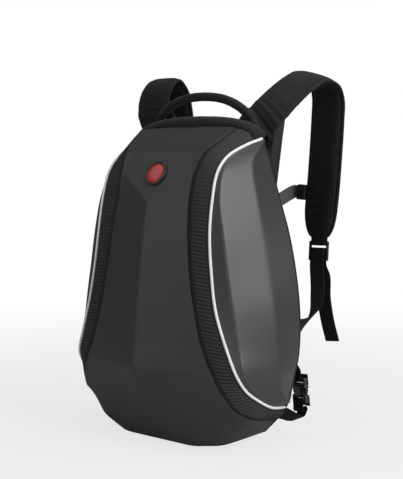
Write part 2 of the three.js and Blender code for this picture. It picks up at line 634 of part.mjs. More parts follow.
// The place of a lock below a strap's tip: its centre, the way up to the strap, and its rear normal.
function lockPlace(side) {
  const { at, tangent, side: across } = strapFrames(side).at(-1);
  const up = tangent.clone().negate();
  const centre = at.clone().addScaledVector(tangent, LOCK_HEIGHT / 2 + TAB_LENGTH + CLEARANCE);
  return { centre, up, across, rear: across.clone().cross(up).negate() };
}

function placed(geometry, { centre, up, across, rear }) {
  const right = up.clone().cross(rear);
  return geometry.applyMatrix4(new THREE.Matrix4().makeBasis(right, up, rear).setPosition(centre));
}

// Points in a place's plane of up and rear, as points in space.
function planePoints({ centre, up, rear }, points) {
  return points.map(([u, n]) => centre.clone().addScaledVector(up, u).addScaledVector(rear, n));
}

// A route that starts square on the rear face of the binding, at its first point's x and z.
function rooted([root, ...rest]) {
  const start = behindSeat({ ...root, out: 0 }).setY(bindingEnd + CLEARANCE);
  return [start, start.clone().setY(start.y + WEB_STUB), ...rest.map(behindSeat)];
}

// How far a web's middle lies from the middle of the bar that it passes.
function webOffset(barThickness) {
  return barThickness / 2 + CLEARANCE + WEB_THICKNESS / 2 + WEB_SLACK;
}

// A turn of webbing over the far edge of a bar, as heights and offsets from the bar's middle.
function turn(edge, away, offset) {
  const corner = edge + away * (WEB_THICKNESS / 2 + CLEARANCE + WEB_SLACK);
  const past = corner + away * TURN_BULGE;
  return [[edge - away * 2, -offset], [corner, CLEARANCE - offset], [past, 0],
    [corner, offset - CLEARANCE], [edge - away * 2, offset]];
}

for (const side of ['left', 'right']) {
  const place = lockPlace(side);
  const high = LOCK_HEIGHT / 2;
  put(`shoulder_strap_${side}`, shoulderStrap(side), clothBlack);
  put(`strap_wing_${side}`, strapWing(side), clothBlack);
  put(`ladder_lock_${side}`, placed(
    slottedFrame(LOCK_WIDTH, LOCK_HEIGHT, LOCK_THICKNESS, LOCK_BAR, 2), place), plasticBlack);
  const tabTop = high + TAB_LENGTH;
  const offset = webOffset(LOCK_THICKNESS);
  const tab = planePoints(place, [
    [tabTop, -offset], ...turn(high - LOCK_BAR, -1, offset), [tabTop, offset]]);
  put(`strap_tab_${side}`, ribbon(tab, () => place.across, WEB_WIDTH, WEB_THICKNESS), webBlack);

  const over = planePoints(place, [
    [-high - WEB_STUB, -offset - SKIN_GAP], [-high + LOCK_BAR, -offset - SKIN_GAP],
    ...turn(LOCK_BAR / 2, 1, offset),
    [-high + LOCK_BAR, offset + SKIN_GAP], [-high - WEB_STUB, offset + SKIN_GAP]]);
  const run = rooted(WEB_ROUTES[`lower_run_${side}`]);
  const tail = WEB_ROUTES[`tail_${side}`].map(behindSeat);
  const route = [...run, ...over, ...tail];
  const twist = side === 'right' ? [0.1, 0, 1] : [-0.1, 0, 1];
  const wanted = route.map((_, i) => (i < run.length
    ? vec(...twist).lerp(place.across, i / run.length).normalize() : place.across));
  put(`adjuster_webbing_${side}`, loft(frames(route, (t) => wanted[Math.round(t * (route.length - 1))])
    .map((frame) => ribbonRing(frame, WEB_WIDTH, WEB_THICKNESS))), webBlack);
}

// Side-release buckle, fastened. Along X the female half lies behind zero and the male half before it.
function box(fromX, toX, width, thickness, middleY = 0) {
  const geometry = new THREE.BoxGeometry(toX - fromX, width, thickness);
  return plain(geometry.translate((fromX + toX) / 2, middleY, 0));
}

function buckleHalves(webWidth) {
  const width = webWidth + 2 * BUCKLE_RIM;
  const pocketWidth = width - BUCKLE_RIM;
  const pocketHeight = BUCKLE_THICKNESS / 2;
  const slot = (from) => box(from, from + BUCKLE_SLOT, webWidth + 2, BUCKLE_THICKNESS + 2);
  const female = cut(
    box(-BUCKLE_LENGTH, -CLEARANCE / 2, width, BUCKLE_THICKNESS),
    box(-PRONG_LENGTH - CLEARANCE, 1, pocketWidth, pocketHeight),
    slot(-BUCKLE_LENGTH + BUCKLE_BAR),
  );
  const baseEnd = BUCKLE_BAR + BUCKLE_SLOT + BUCKLE_BAR;
  const prongs = [-1, 1].map((hand) => box(-PRONG_LENGTH, CLEARANCE, PRONG_WIDTH,
    pocketHeight - 2 * CLEARANCE, hand * (pocketWidth / 2 - CLEARANCE - PRONG_WIDTH / 2)));
  const base = cut(box(CLEARANCE / 2, baseEnd, width, BUCKLE_THICKNESS), slot(BUCKLE_BAR));
  const male = geometryOf(prongs.reduce((left, prong) => left.add(manifoldOf(prong)), manifoldOf(base)));
  return { female, male, femaleBar: -BUCKLE_LENGTH + BUCKLE_BAR / 2, maleBar: baseEnd - BUCKLE_BAR / 2 };
}

const buckleOffset = webOffset(BUCKLE_THICKNESS);

// A fastened buckle and the webs that turn over its two end bars.
function buckled(name, webWidth, femaleSide, maleSide, femaleRoute, maleRoute) {
  const { at, along, side } = BUCKLE_PLACES[name];
  const x = vec(...along).normalize();
  const z = x.clone().cross(vec(...side)).normalize();
  const y = z.clone().cross(x);
  const centre = behindSeat(at);
  const { female, male, femaleBar, maleBar } = buckleHalves(webWidth);
  const seat = new THREE.Matrix4().makeBasis(x, y, z).setPosition(centre);
  put(`${name}_buckle_female`, female.applyMatrix4(seat), plasticBlack);
  put(`${name}_buckle_male`, male.applyMatrix4(seat), plasticBlack);
  const ends = [
    [femaleSide, femaleRoute, femaleBar, x],
    [maleSide, maleRoute, maleBar, x.clone().negate()],
  ];
  for (const [hand, route, bar, up] of ends) {
    const place = { centre: centre.clone().addScaledVector(x, bar), up, rear: z };
    const reach = BUCKLE_BAR / 2;
    const over = planePoints(place, [[-2 * WEB_STUB, -buckleOffset], [-WEB_STUB, -buckleOffset],
      ...turn(reach, 1, buckleOffset), [-WEB_STUB, buckleOffset]]);
    const points = [...route.points, ...over];
    const sides = points.map((_, i) => (i < route.points.length
      ? route.side.clone().lerp(y, i / route.points.length).normalize() : y));
    const web = loft(frames(points, (t) => sides[Math.round(t * (points.length - 1))])
      .map((frame) => ribbonRing(frame, webWidth, WEB_THICKNESS)));
    put(`${name}_webbing_${hand}`, web, name === 'sternum' ? webGrey : webBlack);
  }
}

buckled('waist', WEB_WIDTH, 'right', 'left',
  { points: rooted(WEB_ROUTES.waist_right), side: vec(0.58, 0, 0.82) },
  { points: rooted(WEB_ROUTES.waist_left), side: vec(0.58, 0, -0.82) });

// Sternum strap, from a slider on the inner edge of each shoulder strap
function sternumEnd(hand, station) {
  const sign = hand === 'right' ? -1 : 1;
  const frame = strapFrames(hand)[station];
  const inwards = frame.side.clone().multiplyScalar(sign);
  const beside = strapWidth(station) / 2 + CLEARANCE + SLIDER_LENGTH / 2;
  const centre = frame.at.clone().addScaledVector(inwards, beside);
  const slider = plain(new THREE.BoxGeometry(SLIDER_LENGTH, SLIDER_THICKNESS, SLIDER_HEIGHT));
  const basis = new THREE.Matrix4().makeBasis(frame.side, frame.face.clone(), frame.tangent.clone());
  if (basis.determinant() < 0) basis.makeBasis(frame.side, frame.face.clone().negate(), frame.tangent);
  put(`sternum_slider_${hand}`, slider.applyMatrix4(basis.setPosition(centre)), plasticBlack);
  const start = centre.clone().addScaledVector(inwards, SLIDER_LENGTH / 2 + CLEARANCE);
  return { points: [start, start.clone().addScaledVector(inwards, WEB_STUB)], side: vec(0, 0, 1) };
}

buckled('sternum', STERNUM_WEB_WIDTH, 'right', 'left',
  sternumEnd('right', STERNUM_INDEX.right), sternumEnd('left', STERNUM_INDEX.left));

// Plain round badge in a bezel, on the flat shield above the ridge
const shieldTop = bodyPoint([0, ...SECTIONS[2].ridge]);
const shieldMiddle = bodyPoint([0, ...SECTIONS[3].ridge]);
const down = shieldMiddle.clone().sub(shieldTop).normalize();
const shieldNormal = down.clone().cross(vec(1, 0, 0)).normalize();
const badgeCentre = shieldMiddle.clone().addScaledVector(down, BADGE_DROP)
  .addScaledVector(shieldNormal, CLEARANCE);
const badgeBasis = new THREE.Matrix4().makeBasis(vec(1, 0, 0), shieldNormal, down.clone())
  .setPosition(badgeCentre);
const badgeRadius = BADGE_DIAMETER / 2;
const badge = new THREE.CylinderGeometry(badgeRadius, badgeRadius, BADGE_THICKNESS, 32);
put('badge', plain(badge.translate(0, BADGE_THICKNESS / 2, 0)).applyMatrix4(badgeBasis), red);
const bezelIn = badgeRadius + CLEARANCE;
const bezel = new THREE.LatheGeometry([[bezelIn, 0], [bezelIn + BEZEL_WIDTH, 0],
  [bezelIn + BEZEL_WIDTH, BEZEL_HEIGHT / 2], [bezelIn + BEZEL_WIDTH / 2, BEZEL_HEIGHT],
  [bezelIn, BEZEL_HEIGHT], [bezelIn, 0]].map(([r, h]) => new THREE.Vector2(r, h)), 32);
put('badge_bezel', plain(bezel).applyMatrix4(badgeBasis), plasticBlack);

export default parts;
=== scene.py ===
# %% [markdown]
# # A hard shell backpack, dressed over its CAD frame
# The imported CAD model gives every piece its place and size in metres. This notebook loads it as a fixed
# frame and covers it, piece by piece, with fine surfaces and procedural finishes. The camera and the
# lights come first, so that every later step can be judged in the picture.

import json

import bmesh
import bpy
import numpy as np
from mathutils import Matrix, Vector

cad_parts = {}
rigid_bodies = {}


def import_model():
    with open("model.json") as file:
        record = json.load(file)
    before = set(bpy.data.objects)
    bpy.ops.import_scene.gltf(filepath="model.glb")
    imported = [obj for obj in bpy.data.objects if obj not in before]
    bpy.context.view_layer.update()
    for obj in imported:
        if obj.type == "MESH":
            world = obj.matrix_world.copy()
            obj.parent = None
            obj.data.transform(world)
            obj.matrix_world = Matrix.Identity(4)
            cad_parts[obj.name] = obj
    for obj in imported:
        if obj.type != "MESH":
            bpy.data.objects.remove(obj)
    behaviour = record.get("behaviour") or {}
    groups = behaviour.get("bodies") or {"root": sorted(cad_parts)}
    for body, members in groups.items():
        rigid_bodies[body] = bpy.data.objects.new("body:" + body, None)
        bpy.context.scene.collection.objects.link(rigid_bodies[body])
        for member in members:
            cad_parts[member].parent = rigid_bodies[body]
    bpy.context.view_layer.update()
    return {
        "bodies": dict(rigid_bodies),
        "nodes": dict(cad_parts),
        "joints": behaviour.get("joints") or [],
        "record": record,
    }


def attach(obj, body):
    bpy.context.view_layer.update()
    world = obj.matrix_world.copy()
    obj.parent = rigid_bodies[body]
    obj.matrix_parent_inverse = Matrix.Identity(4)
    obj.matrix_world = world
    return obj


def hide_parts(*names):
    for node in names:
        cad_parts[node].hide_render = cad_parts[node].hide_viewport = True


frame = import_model()

# %% [markdown]
# ## Camera
# A product picture of a bag is taken from a low three-quarter view with a long lens. The camera looks at
# a point a little above the middle of the shell, from 40 degrees round to its right and 4 degrees up.

# %% Camera
MM = 0.001
LOOK_AT = np.array([-1, 53.1, 283.4]) * MM
CAMERA_DISTANCE = 1.53
AZIMUTH, PITCH = np.radians(40), np.radians(4.32)

away = np.array([np.sin(AZIMUTH) * np.cos(PITCH), -np.cos(AZIMUTH) * np.cos(PITCH), np.sin(PITCH)])
camera = bpy.data.objects.new("camera", bpy.data.cameras.new("camera"))
bpy.context.scene.collection.objects.link(camera)
camera.location = LOOK_AT + CAMERA_DISTANCE * away
camera.rotation_euler = Vector(-away).to_track_quat("-Z", "Y").to_euler()
camera.data.lens = 77.2
camera.data.sensor_fit = "VERTICAL"
camera.data.sensor_height = 36
bpy.context.scene.camera = camera
print("camera at", [round(v, 3) for v in camera.location])

# %% [markdown]
# ## Surfaces from arrays
# Nearly every piece below is a grid of points, worked out for all rows and columns at once. This cell
# turns such a grid into a mesh. A sheet keeps its four borders, and a tube joins its last column to its
# first and closes both ends. The mesh also gets a UV map in millimetres across and along the cloth, so a
# weave keeps its real size wherever the piece bends.

# %% Grid to mesh
def arc_lengths(points, axis):
    """Distance run along one axis of a grid, averaged over the other, in millimetres."""
    steps = np.linalg.norm(np.diff(points, axis=axis), axis=-1).mean(axis=1 - axis)
    return np.concatenate([[0], np.cumsum(steps)]) / MM


def run_along(path):
    """Distance run along one line, in millimetres."""
    return arc_lengths(path[:, None].repeat(2, 1), 0)


def surface(name, points, tube=False, caps=True, flip=False):
    """A mesh object from a grid of points, rows by columns: four neighbours make one face."""
    rows, columns = points.shape[:2]
    along, across = arc_lengths(points, 0), arc_lengths(points, 1)
    if tube:
        across = np.append(across, across[-1] + across[1])
    count = columns if tube else columns - 1
    i, j = np.meshgrid(np.arange(rows - 1), np.arange(count), indexing="ij")
    k = (j + 1) % columns
    corners = np.stack([i * columns + j, i * columns + k, (i + 1) * columns + k, (i + 1) * columns + j], -1)
    uv = np.stack([np.stack([across[j], along[i]], -1), np.stack([across[j + 1], along[i]], -1),
                   np.stack([across[j + 1], along[i + 1]], -1), np.stack([across[j], along[i + 1]], -1)], -2)
    faces = [tuple(face) for face in corners.reshape(-1, 4).tolist()]
    uv = uv.reshape(-1, 2)
    if tube and caps:
        ring = np.arange(columns)
        faces += [tuple(ring[::-1].tolist()), tuple((ring + (rows - 1) * columns).tolist())]
        ends = [np.stack([across[ring[::-1]], np.zeros(columns)], -1),
                np.stack([across[ring], np.full(columns, along[-1])], -1)]
        uv = np.concatenate([uv, *ends])
    mesh = bpy.data.meshes.new(name)
    mesh.from_pydata(points.reshape(-1, 3).tolist(), [], faces)
    layer = mesh.uv_layers.new(name="millimetres")
    layer.data.foreach_set("uv", uv.astype(np.float32).ravel())
    if (outward_sum(points, corners) < 0 if tube else flip):
        mesh.flip_normals()
    mesh.shade_smooth()
    made = bpy.data.objects.new(name, mesh)
    bpy.context.scene.collection.objects.link(made)
    return made


def outward_sum(points, corners):
    """Area vector of each face, dotted with the way from its own ring's middle, added up over the tube."""
    first, second, third, fourth = (points.reshape(-1, 3)[corners[..., c]] for c in range(4))
    middles = points.mean(axis=1)
    away = (first + second + third + fourth) / 4 - ((middles[:-1] + middles[1:]) / 2)[:, None]
    return np.sum(np.cross(third - first, fourth - second) * away)


# %% [markdown]
# Curves come from a few points. A centripetal Catmull-Rom spline passes through all of them without
# loops or overshoot, and because it works on whole arrays, one call can bend a whole family of lines.

# %% Curves through points
def curve_through(points, count):
    """Centripetal Catmull-Rom: a cubic between each two points, whose end slopes come from their
    neighbours, weighted by the square roots of the distances."""
    points = np.asarray(points, float)
    padded = np.concatenate([2 * points[:1] - points[1:2], points, 2 * points[-1:] - points[-2:-1]])
    gaps = np.maximum(np.sqrt(np.linalg.norm(np.diff(padded, axis=0), axis=-1, keepdims=True)), 1e-4)
    before, here, after, beyond = padded[:-3], padded[1:-2], padded[2:-1], padded[3:]
    first, middle, last = gaps[:-2], gaps[1:-1], gaps[2:]
    leave = ((here - before) / first - (after - before) / (first + middle) + (after - here) / middle) * middle
    arrive = ((after - here) / middle - (beyond - here) / (middle + last) + (beyond - after) / last) * middle
    at = np.linspace(0, len(points) - 1, count)
    k = np.minimum(at.astype(int), len(points) - 2)
    t = (at - k).reshape((-1,) + (1,) * (points.ndim - 1))
    return ((2 * t**3 - 3 * t**2 + 1) * here[k] + (t**3 - 2 * t**2 + t) * leave[k]
            + (3 * t**2 - 2 * t**3) * after[k] + (t**3 - t**2) * arrive[k])


def straight_through(points, count):
    """The straight lines between the points, cut into equal shares of each line."""
    points = np.asarray(points, float)
    at = np.linspace(0, len(points) - 1, count)
    k = np.minimum(at.astype(int), len(points) - 2)
    t = (at - k)[:, None]
    return points[k] * (1 - t) + points[k + 1] * t


def unit(vectors):
    """Vectors divided by their own lengths."""
    return vectors / np.maximum(np.linalg.norm(vectors, axis=-1, keepdims=True), 1e-12)


def grid_normals(points):
    """The cross product of a grid's two directions, which stands square on the surface."""
    return unit(np.cross(np.gradient(points, axis=1), np.gradient(points, axis=0)))


# %% [markdown]
# ## Finishes as expressions
# A material is a small program of nodes. The class below wraps a node's output, so that the pattern of a
# weave can be written as ordinary arithmetic, and `Finish` keeps the nodes of one material. Colours are
# never sent through a Math node, which would turn them grey.

# %% Shader arithmetic
class Pattern:
    """A number that varies over a surface. Arithmetic on it adds Math nodes."""

    def __init__(self, finish, socket):
        self.finish, self.socket = finish, socket

    def math(self, operation, *others):
        return self.finish.math(operation, self, *others)

    def __add__(self, other):
        return self.finish.math("ADD", self, other)

    def __sub__(self, other):
        return self.finish.math("SUBTRACT", self, other)

    def __rsub__(self, other):
        return self.finish.math("SUBTRACT", other, self)

    def __mul__(self, other):
        return self.finish.math("MULTIPLY", self, other)

    def __truediv__(self, other):
        return self.finish.math("DIVIDE", self, other)

    __radd__, __rmul__ = __add__, __mul__

    def within(self, low, high):
        """0 below low, 1 above high, and a soft rise between."""
        return self.finish.node("MapRange", {"interpolation_type": "SMOOTHSTEP"},
                                {"Value": self, "From Min": low, "From Max": high})


class Finish:
    """One procedural material, built round a Principled shader."""

    def __init__(self, name):
        self.material = bpy.data.materials.new(name)
        self.material.use_nodes = True
        self.tree = self.material.node_tree
        self.shader = self.tree.nodes["Principled BSDF"]

    def feed(self, socket, value):
        if isinstance(value, Pattern):
            self.tree.links.new(value.socket, socket)
        elif isinstance(value, tuple) and len(value) == 3 and socket.type == "RGBA":
            socket.default_value = (*value, 1)
        else:
            socket.default_value = value

    def node(self, kind, settings=None, inputs=None, output=0):
        made = self.tree.nodes.new("ShaderNode" + kind)
        for key, value in (settings or {}).items():
            setattr(made, key, value)
        for key, value in (inputs or {}).items():
            self.feed(made.inputs[key], value)
        return Pattern(self, made.outputs[output])

    def math(self, operation, *values):
        return self.node("Math", {"operation": operation}, dict(enumerate(values)))

    def place(self):
        """The point's place on the object, in millimetres."""
        where = self.node("TexCoord", output="Object")
        return self.node("VectorMath", {"operation": "SCALE"}, {0: where, "Scale": 1000.0})

    def cloth_place(self):
        """Across and along the cloth, in millimetres."""
        uv = self.node("UVMap", {"uv_map": "millimetres"})
        parts = self.node("SeparateXYZ", inputs={0: uv}).socket.node
        return Pattern(self, parts.outputs[0]), Pattern(self, parts.outputs[1]), uv

    def attribute(self, name):
        return self.node("Attribute", {"attribute_name": name}, output="Fac")

    def noise(self, scale, where=None, detail=2.0, rough=0.5):
        return self.node("TexNoise", None, {"Vector": where or self.place(), "Scale": scale,
                                            "Detail": detail, "Roughness": rough})

    def wave(self, distance, pitch):
        """A ripple between 0 and 1 that repeats once in each pitch."""
        return self.math("SINE", distance * (2 * np.pi / pitch)) * 0.5 + 0.5

    def blend(self, mask, first, second):
        """The first colour where the mask is 0 and the second where it is 1."""
        node = self.tree.nodes.new("ShaderNodeMix")
        node.data_type = "RGBA"
        self.feed(node.inputs[0], mask)
        self.feed(node.inputs[6], first)
        self.feed(node.inputs[7], second)
        return Pattern(self, node.outputs[2])

    def relief(self, height, depth, strength=1.0):
        """A bump whose full height is the depth, in metres."""
        return self.node("Bump", None, {"Height": height, "Distance": depth, "Strength": strength})

    def done(self, **sockets):
        for name, value in sockets.items():
            self.feed(self.shader.inputs[name.replace("_", " ")], value)
        return self.material


def grey(level, tint=0.0):
    """A neutral colour with a little more blue where the tint is positive."""
    return (level * (1 - tint), level, level * (1 + tint))


# %% [markdown]
# ## Studio
# Black and grey goods are lit with large soft boxes, because their shape is told by the reflections. One
# big box stands on the right, where the side shell turns to it. A small one high on the left picks out the
# shield, two weak ones fill the front, and one hangs above. The floor is plain and pale. To the camera it
# is mostly an even glow, all the more so far away, where it runs into the white backdrop.

# %% Floor, backdrop and lights
def soft_box(name, place, target, size, power):
    lamp = bpy.data.lights.new(name, "AREA")
    lamp.shape, lamp.size, lamp.size_y, lamp.energy = "RECTANGLE", *size, power
    box = bpy.data.objects.new(name, lamp)
    bpy.context.scene.collection.objects.link(box)
    box.location = place
    box.rotation_euler = (Vector(target) - Vector(place)).to_track_quat("-Z", "Y").to_euler()


floor_finish = Finish("pale floor")
floor_tone = floor_finish.noise(0.01)
floor_finish.done(Base_Color=floor_finish.blend(floor_tone, grey(0.54), grey(0.58)), Roughness=0.8)
GLOW_NEAR, GLOW_FAR, LEAST_GLOW = 0.2, 1.6, 0.75
from_bag = floor_finish.node("VectorMath", {"operation": "LENGTH"},
                             {0: floor_finish.node("TexCoord", output="Object")}, "Value")
glow_share = from_bag.within(GLOW_NEAR, GLOW_FAR) * (1 - LEAST_GLOW) + LEAST_GLOW
glow = floor_finish.node("Emission", None, {"Color": (1.0, 1.0, 1.0), "Strength": 1.0})
lit = floor_finish.node("MixShader", None, {
    0: glow_share * floor_finish.node("LightPath"),
    1: Pattern(floor_finish, floor_finish.shader.outputs[0]), 2: glow})
floor_finish.tree.links.new(lit.socket, floor_finish.tree.nodes["Material Output"].inputs[0])
FLOOR_HALF = 30.0
floor_edge = np.linspace(-FLOOR_HALF, FLOOR_HALF, 2)
floor_grid = np.stack(np.meshgrid(floor_edge, floor_edge, indexing="ij") + [np.full((2, 2), -MM)], -1)
floor = surface("studio_floor", floor_grid)
floor.data.materials.append(floor_finish.material)

soft_box("right box", (1.85, -0.03, 1.15), (0, 0, 0.25), (1.2, 1.4), 30)
soft_box("shield box", (-1.4, -1.05, 1.85), (0, 0, 0.4), (0.6, 0.6), 2.5)
soft_box("front box", (-0.65, -2.0, 0.9), (0, 0, 0.25), (0.8, 1.3), 6)
soft_box("fill box", (1.5, -1.7, 1.0), (0, 0, 0.25), (0.9, 1.4), 4)
soft_box("top box", (0.2, 0.2, 2.2), (0, 0, 0.3), (1.4, 1.4), 12)

world = bpy.data.worlds.new("studio")
world.use_nodes = True
bpy.context.scene.world = world
sky = world.node_tree
sky_light = sky.nodes["Background"]
sky_light.inputs["Color"].default_value = (1, 1, 1, 1)
sky_light.inputs["Strength"].default_value = 0.1
backdrop = sky.nodes.new("ShaderNodeBackground")
backdrop.inputs["Color"].default_value = (1, 1, 1, 1)
backdrop.inputs["Strength"].default_value = 1.0
chosen = sky.nodes.new("ShaderNodeMixShader")
sky.links.new(sky.nodes.new("ShaderNodeLightPath").outputs["Is Camera Ray"], chosen.inputs[0])
sky.links.new(sky_light.outputs[0], chosen.inputs[1])
sky.links.new(backdrop.outputs[0], chosen.inputs[2])
sky.links.new(chosen.outputs[0], sky.nodes["World Output"].inputs[0])
bpy.context.scene.view_settings.view_transform = "Standard"

# %% [markdown]
# ## The lines of the shell
# The moulded shell is ruled by a few lines that run down it: the ridge in the middle, a fold, the edge of
# the front panel, the piping, two soft creases of the side and the seam at the back. Each section below
# gives their places as shares of the half width, the depth counted forwards from the back, and the
# height. Ridge and fold run straight, which keeps the facets flat, and the others are curves.

# %% Sections of the shell
HALF_WIDTH, DEPTH, HEIGHT, BACK_Y = 175 * MM, 155 * MM, 450 * MM, 55 * MM
# ridge y z | fold, belly | edge x y z | piping x y z | brow x y z | hip x y z | seam x z
SECTIONS = np.array([
    [.168, 1.002, .5, 0, .503, .245, .993, .669, .071, .958, .663, .052, .957, .651, .026, .953, .64, .949],
    [.374, .964, .5, 0, .48, .406, .958, .629, .245, .938, .651, .181, .933, .669, .116, .927, .663, .924],
    [.555, .916, .5, 0, .417, .555, .916, .594, .465, .902, .629, .374, .9, .68, .2, .896, .686, .898],
    [.652, .853, .96, 0, .389, .652, .853, .589, .6, .853, .646, .529, .853, .709, .226, .855, .726, .853],
    [.787, .764, 0, 0, .383, .716, .764, .594, .677, .769, .686, .632, .771, .771, .226, .767, .8, .767],
    [.839, .667, .5, 0, .406, .761, .667, .603, .723, .667, .749, .645, .667, .823, .226, .667, .886, .667],
    [.884, .556, .5, 0, .44, .787, .556, .634, .742, .556, .789, .652, .556, .88, .226, .556, .954, .551],
    [.923, .444, .5, 0, .497, .8, .444, .686, .755, .444, .834, .652, .444, .937, .226, .444, .991, .449],
    [.955, .333, .5, 0, .577, .806, .333, .783, .742, .333, .874, .645, .333, .974, .226, .333, 1, .356],
    [.99, .251, 0, 0, .68, .794, .249, .863, .71, .253, .914, .639, .249, .994, .226, .249, .983, .276],
    [.884, .167, .155, .01, .752, .764, .191, .891, .613, .204, .931, .535, .2, .989, .226, .209, .949, .22],
    [.774, .082, .28, .02, .815, .672, .138, .931, .484, .169, .957, .387, .176, .977, .2, .18, .934, .191],
    [.65, .004, .42, .07, .876, .522, .111, .937, .323, .142, .954, .245, .153, .96, .135, .16, .92, .173],
    [.45, 0, .62, .06, .834, .29, .093, .92, .181, .131, .934, .135, .14, .934, .077, .147, .914, .16],
    [.002, 0, .66, .035, .768, .002, .067, .874, .002, .12, .886, .002, .13, .9, .002, .139, .909, .147],
])
BASE_SECTION = 12
SEAM_SHARE = 0.002


def body_points(shares):
    """Shares of the half width, the depth and the height, as points in metres."""
    x, y, z = np.moveaxis(np.asarray(shares, float), -1, 0)
    return np.stack([x * HALF_WIDTH, BACK_Y - y * DEPTH, z * HEIGHT], -1)


nothing = np.zeros(len(SECTIONS))
ridge_at = body_points(np.stack([nothing, SECTIONS[:, 0], SECTIONS[:, 1]], -1))
edge_at = body_points(SECTIONS[:, 4:7])
on_front = (np.arange(len(SECTIONS)) < BASE_SECTION)[:, None]
fold_share = SECTIONS[:, 2:3]
under = np.stack([edge_at[:, 0] * fold_share[:, 0], ridge_at[:, 1], ridge_at[:, 2]], -1)
fold_at = np.where(on_front, ridge_at + (edge_at - ridge_at) * fold_share, under)
swell_way = unit(np.array([[0.7, -0.4, -0.7]] * (len(SECTIONS) - 1) + [[0.7, 0, -0.7]]))
belly_at = (fold_at + edge_at) / 2 + swell_way * SECTIONS[:, 3:4] * DEPTH

ROWS = (len(SECTIONS) - 1) * 20 + 1
ridge_line, fold_line, belly_line = (straight_through(p, ROWS) for p in (ridge_at, fold_at, belly_at))
edge_line = curve_through(edge_at, ROWS)
piping_line, brow_line, hip_line = (
    curve_through(body_points(SECTIONS[:, c:c + 3]), ROWS) for c in (7, 10, 13))
seam_line = curve_through(body_points(np.stack(
    [SECTIONS[:, 16], nothing + SEAM_SHARE, SECTIONS[:, 17]], -1)), ROWS)
print("panel edge runs", round(run_along(edge_line)[-1]), "mm down each side")

# %% [markdown]
# ## Front shell
# On the real bag the front is one sheet of foam between two films, pressed hot in a mould, so its creases
# are crisp but never sharp. The grid is filled straight from ridge to fold, belly and edge. One pass of a
# small averaging kernel then softens every crease alike, and more passes round the part that turns under.

# %% Build the front shell
def straight_across(lines, counts):
    """Points between neighbouring lines, in equal shares, as columns of a grid."""
    parts = [a[:, None] + (b - a)[:, None] * np.linspace(0, 1, n, endpoint=False)[:, None]
             for a, b, n in zip(lines[:-1], lines[1:], counts)]
    return np.concatenate(parts + [lines[-1][:, None]], axis=1)


def eased(points, across, along=0):
    """Each inner point moves to a quarter of its two neighbours and a half of itself, as many times as
    given across the grid and along it."""
    points = points.copy()
    for _ in range(across):
        points[:, 1:-1] = (points[:, :-2] + 2 * points[:, 1:-1] + points[:, 2:]) / 4
    for _ in range(along):
        points[1:-1] = (points[:-2] + 2 * points[1:-1] + points[2:]) / 4
    return points


def mirrored(points):
    return points * [-1, 1, 1]


FRONT_COLUMNS = [14, 14, 14]
half_front = straight_across([ridge_line, fold_line, belly_line, edge_line], FRONT_COLUMNS)
front_grid = np.concatenate([mirrored(half_front[:, :0:-1]), half_front], axis=1)
front_grid = eased(front_grid, 1, 1)
BELOW_CREASE = 190
front_grid[BELOW_CREASE:] = eased(front_grid[BELOW_CREASE:], 5, 10)


def thickened(piece, thickness, offset=-1):
    """Give an open sheet its wall: inwards at offset -1, and to both sides alike at 0."""
    wall = piece.modifiers.new("wall", "SOLIDIFY")
    wall.thickness, wall.offset = thickness, offset
    return wall


def walled(piece, thickness, rim):
    """Give an open sheet its wall inwards and round the rim of the wall."""
    thickened(piece, thickness).use_quality_normals = True
    edge = piece.modifiers.new("rim", "BEVEL")
    edge.width, edge.segments, edge.limit_method, edge.angle_limit = rim, 3, "ANGLE", np.radians(60)
    return piece


def outward_share(piece):
    """Share of the faces whose normal points away from the middle of the bag."""
    centres, normals = (np.empty(len(piece.data.polygons) * 3) for _ in range(2))
    piece.data.polygons.foreach_get("center", centres)
    piece.data.polygons.foreach_get("normal", normals)
    away_from = centres.reshape(-1, 3) - [0, BACK_Y, HEIGHT / 2]
    return np.mean(np.sum(away_from * normals.reshape(-1, 3), 1) > 0)


def report(piece):
    low, high = piece_box(piece)
    print(f"{piece.name}: {len(piece.data.polygons)} faces, {np.round((high - low) / MM).astype(int)} mm,",
          f"{outward_share(piece):.2f} of them outwards")


def piece_box(piece):
    co = np.empty(len(piece.data.vertices) * 3)
    piece.data.vertices.foreach_get("co", co)
    co = co.reshape(-1, 3)
    return co.min(0), co.max(0)


def marked(piece, name, values):
    """Store one number at each point, under a name that a material can read."""
    layer = piece.data.attributes.new(name, "FLOAT", "POINT")
    layer.data.foreach_set("value", values.astype(np.float32).ravel())


def dress(piece, finish, slot, *nodes):
    """Give a piece its finish, its body and the CAD nodes that it stands for. The slot is not used."""
    piece.data.materials.append(finish)
    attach(piece, "root")
    if nodes:
        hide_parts(*nodes)
    report(piece)
    return piece


# %% [markdown]
# The film is a dark satin with a grain too fine to see from across a room. A little unevenness in the
# gloss keeps it from looking like painted metal.

# %% Moulded film
def moulded_film(name, level, gloss):
    film = Finish(name)
    cloud = film.noise(0.02, detail=3.0)
    grain = film.noise(2.2, detail=3.0, rough=0.6)
    pores = film.node("TexVoronoi", {"feature": "F1"}, {"Vector": film.place(), "Scale": 1.1}, "Distance")
    tone = film.blend(grain * 0.35 + cloud * 0.65, grey(level * 0.88, 0.01), grey(level * 1.12, 0.01))
    height = pores * 0.6 + grain * 0.4
    return film.done(Base_Color=tone, Roughness=cloud * 0.1 + (gloss - 0.05) + grain * 0.05,
                     Specular_IOR_Level=0.5, Normal=film.relief(height, 0.00008, 0.5))


SHELL_WALL, FRONT_RIM, SIDE_RIM = 2.5 * MM, 0.8 * MM, 0.6 * MM
front_film = moulded_film("front film", 0.036, 0.46)
front_shell = walled(surface("front_panel_skin", front_grid, flip=True), SHELL_WALL, FRONT_RIM)
dress(front_shell, front_film, "shell", "front_shell")

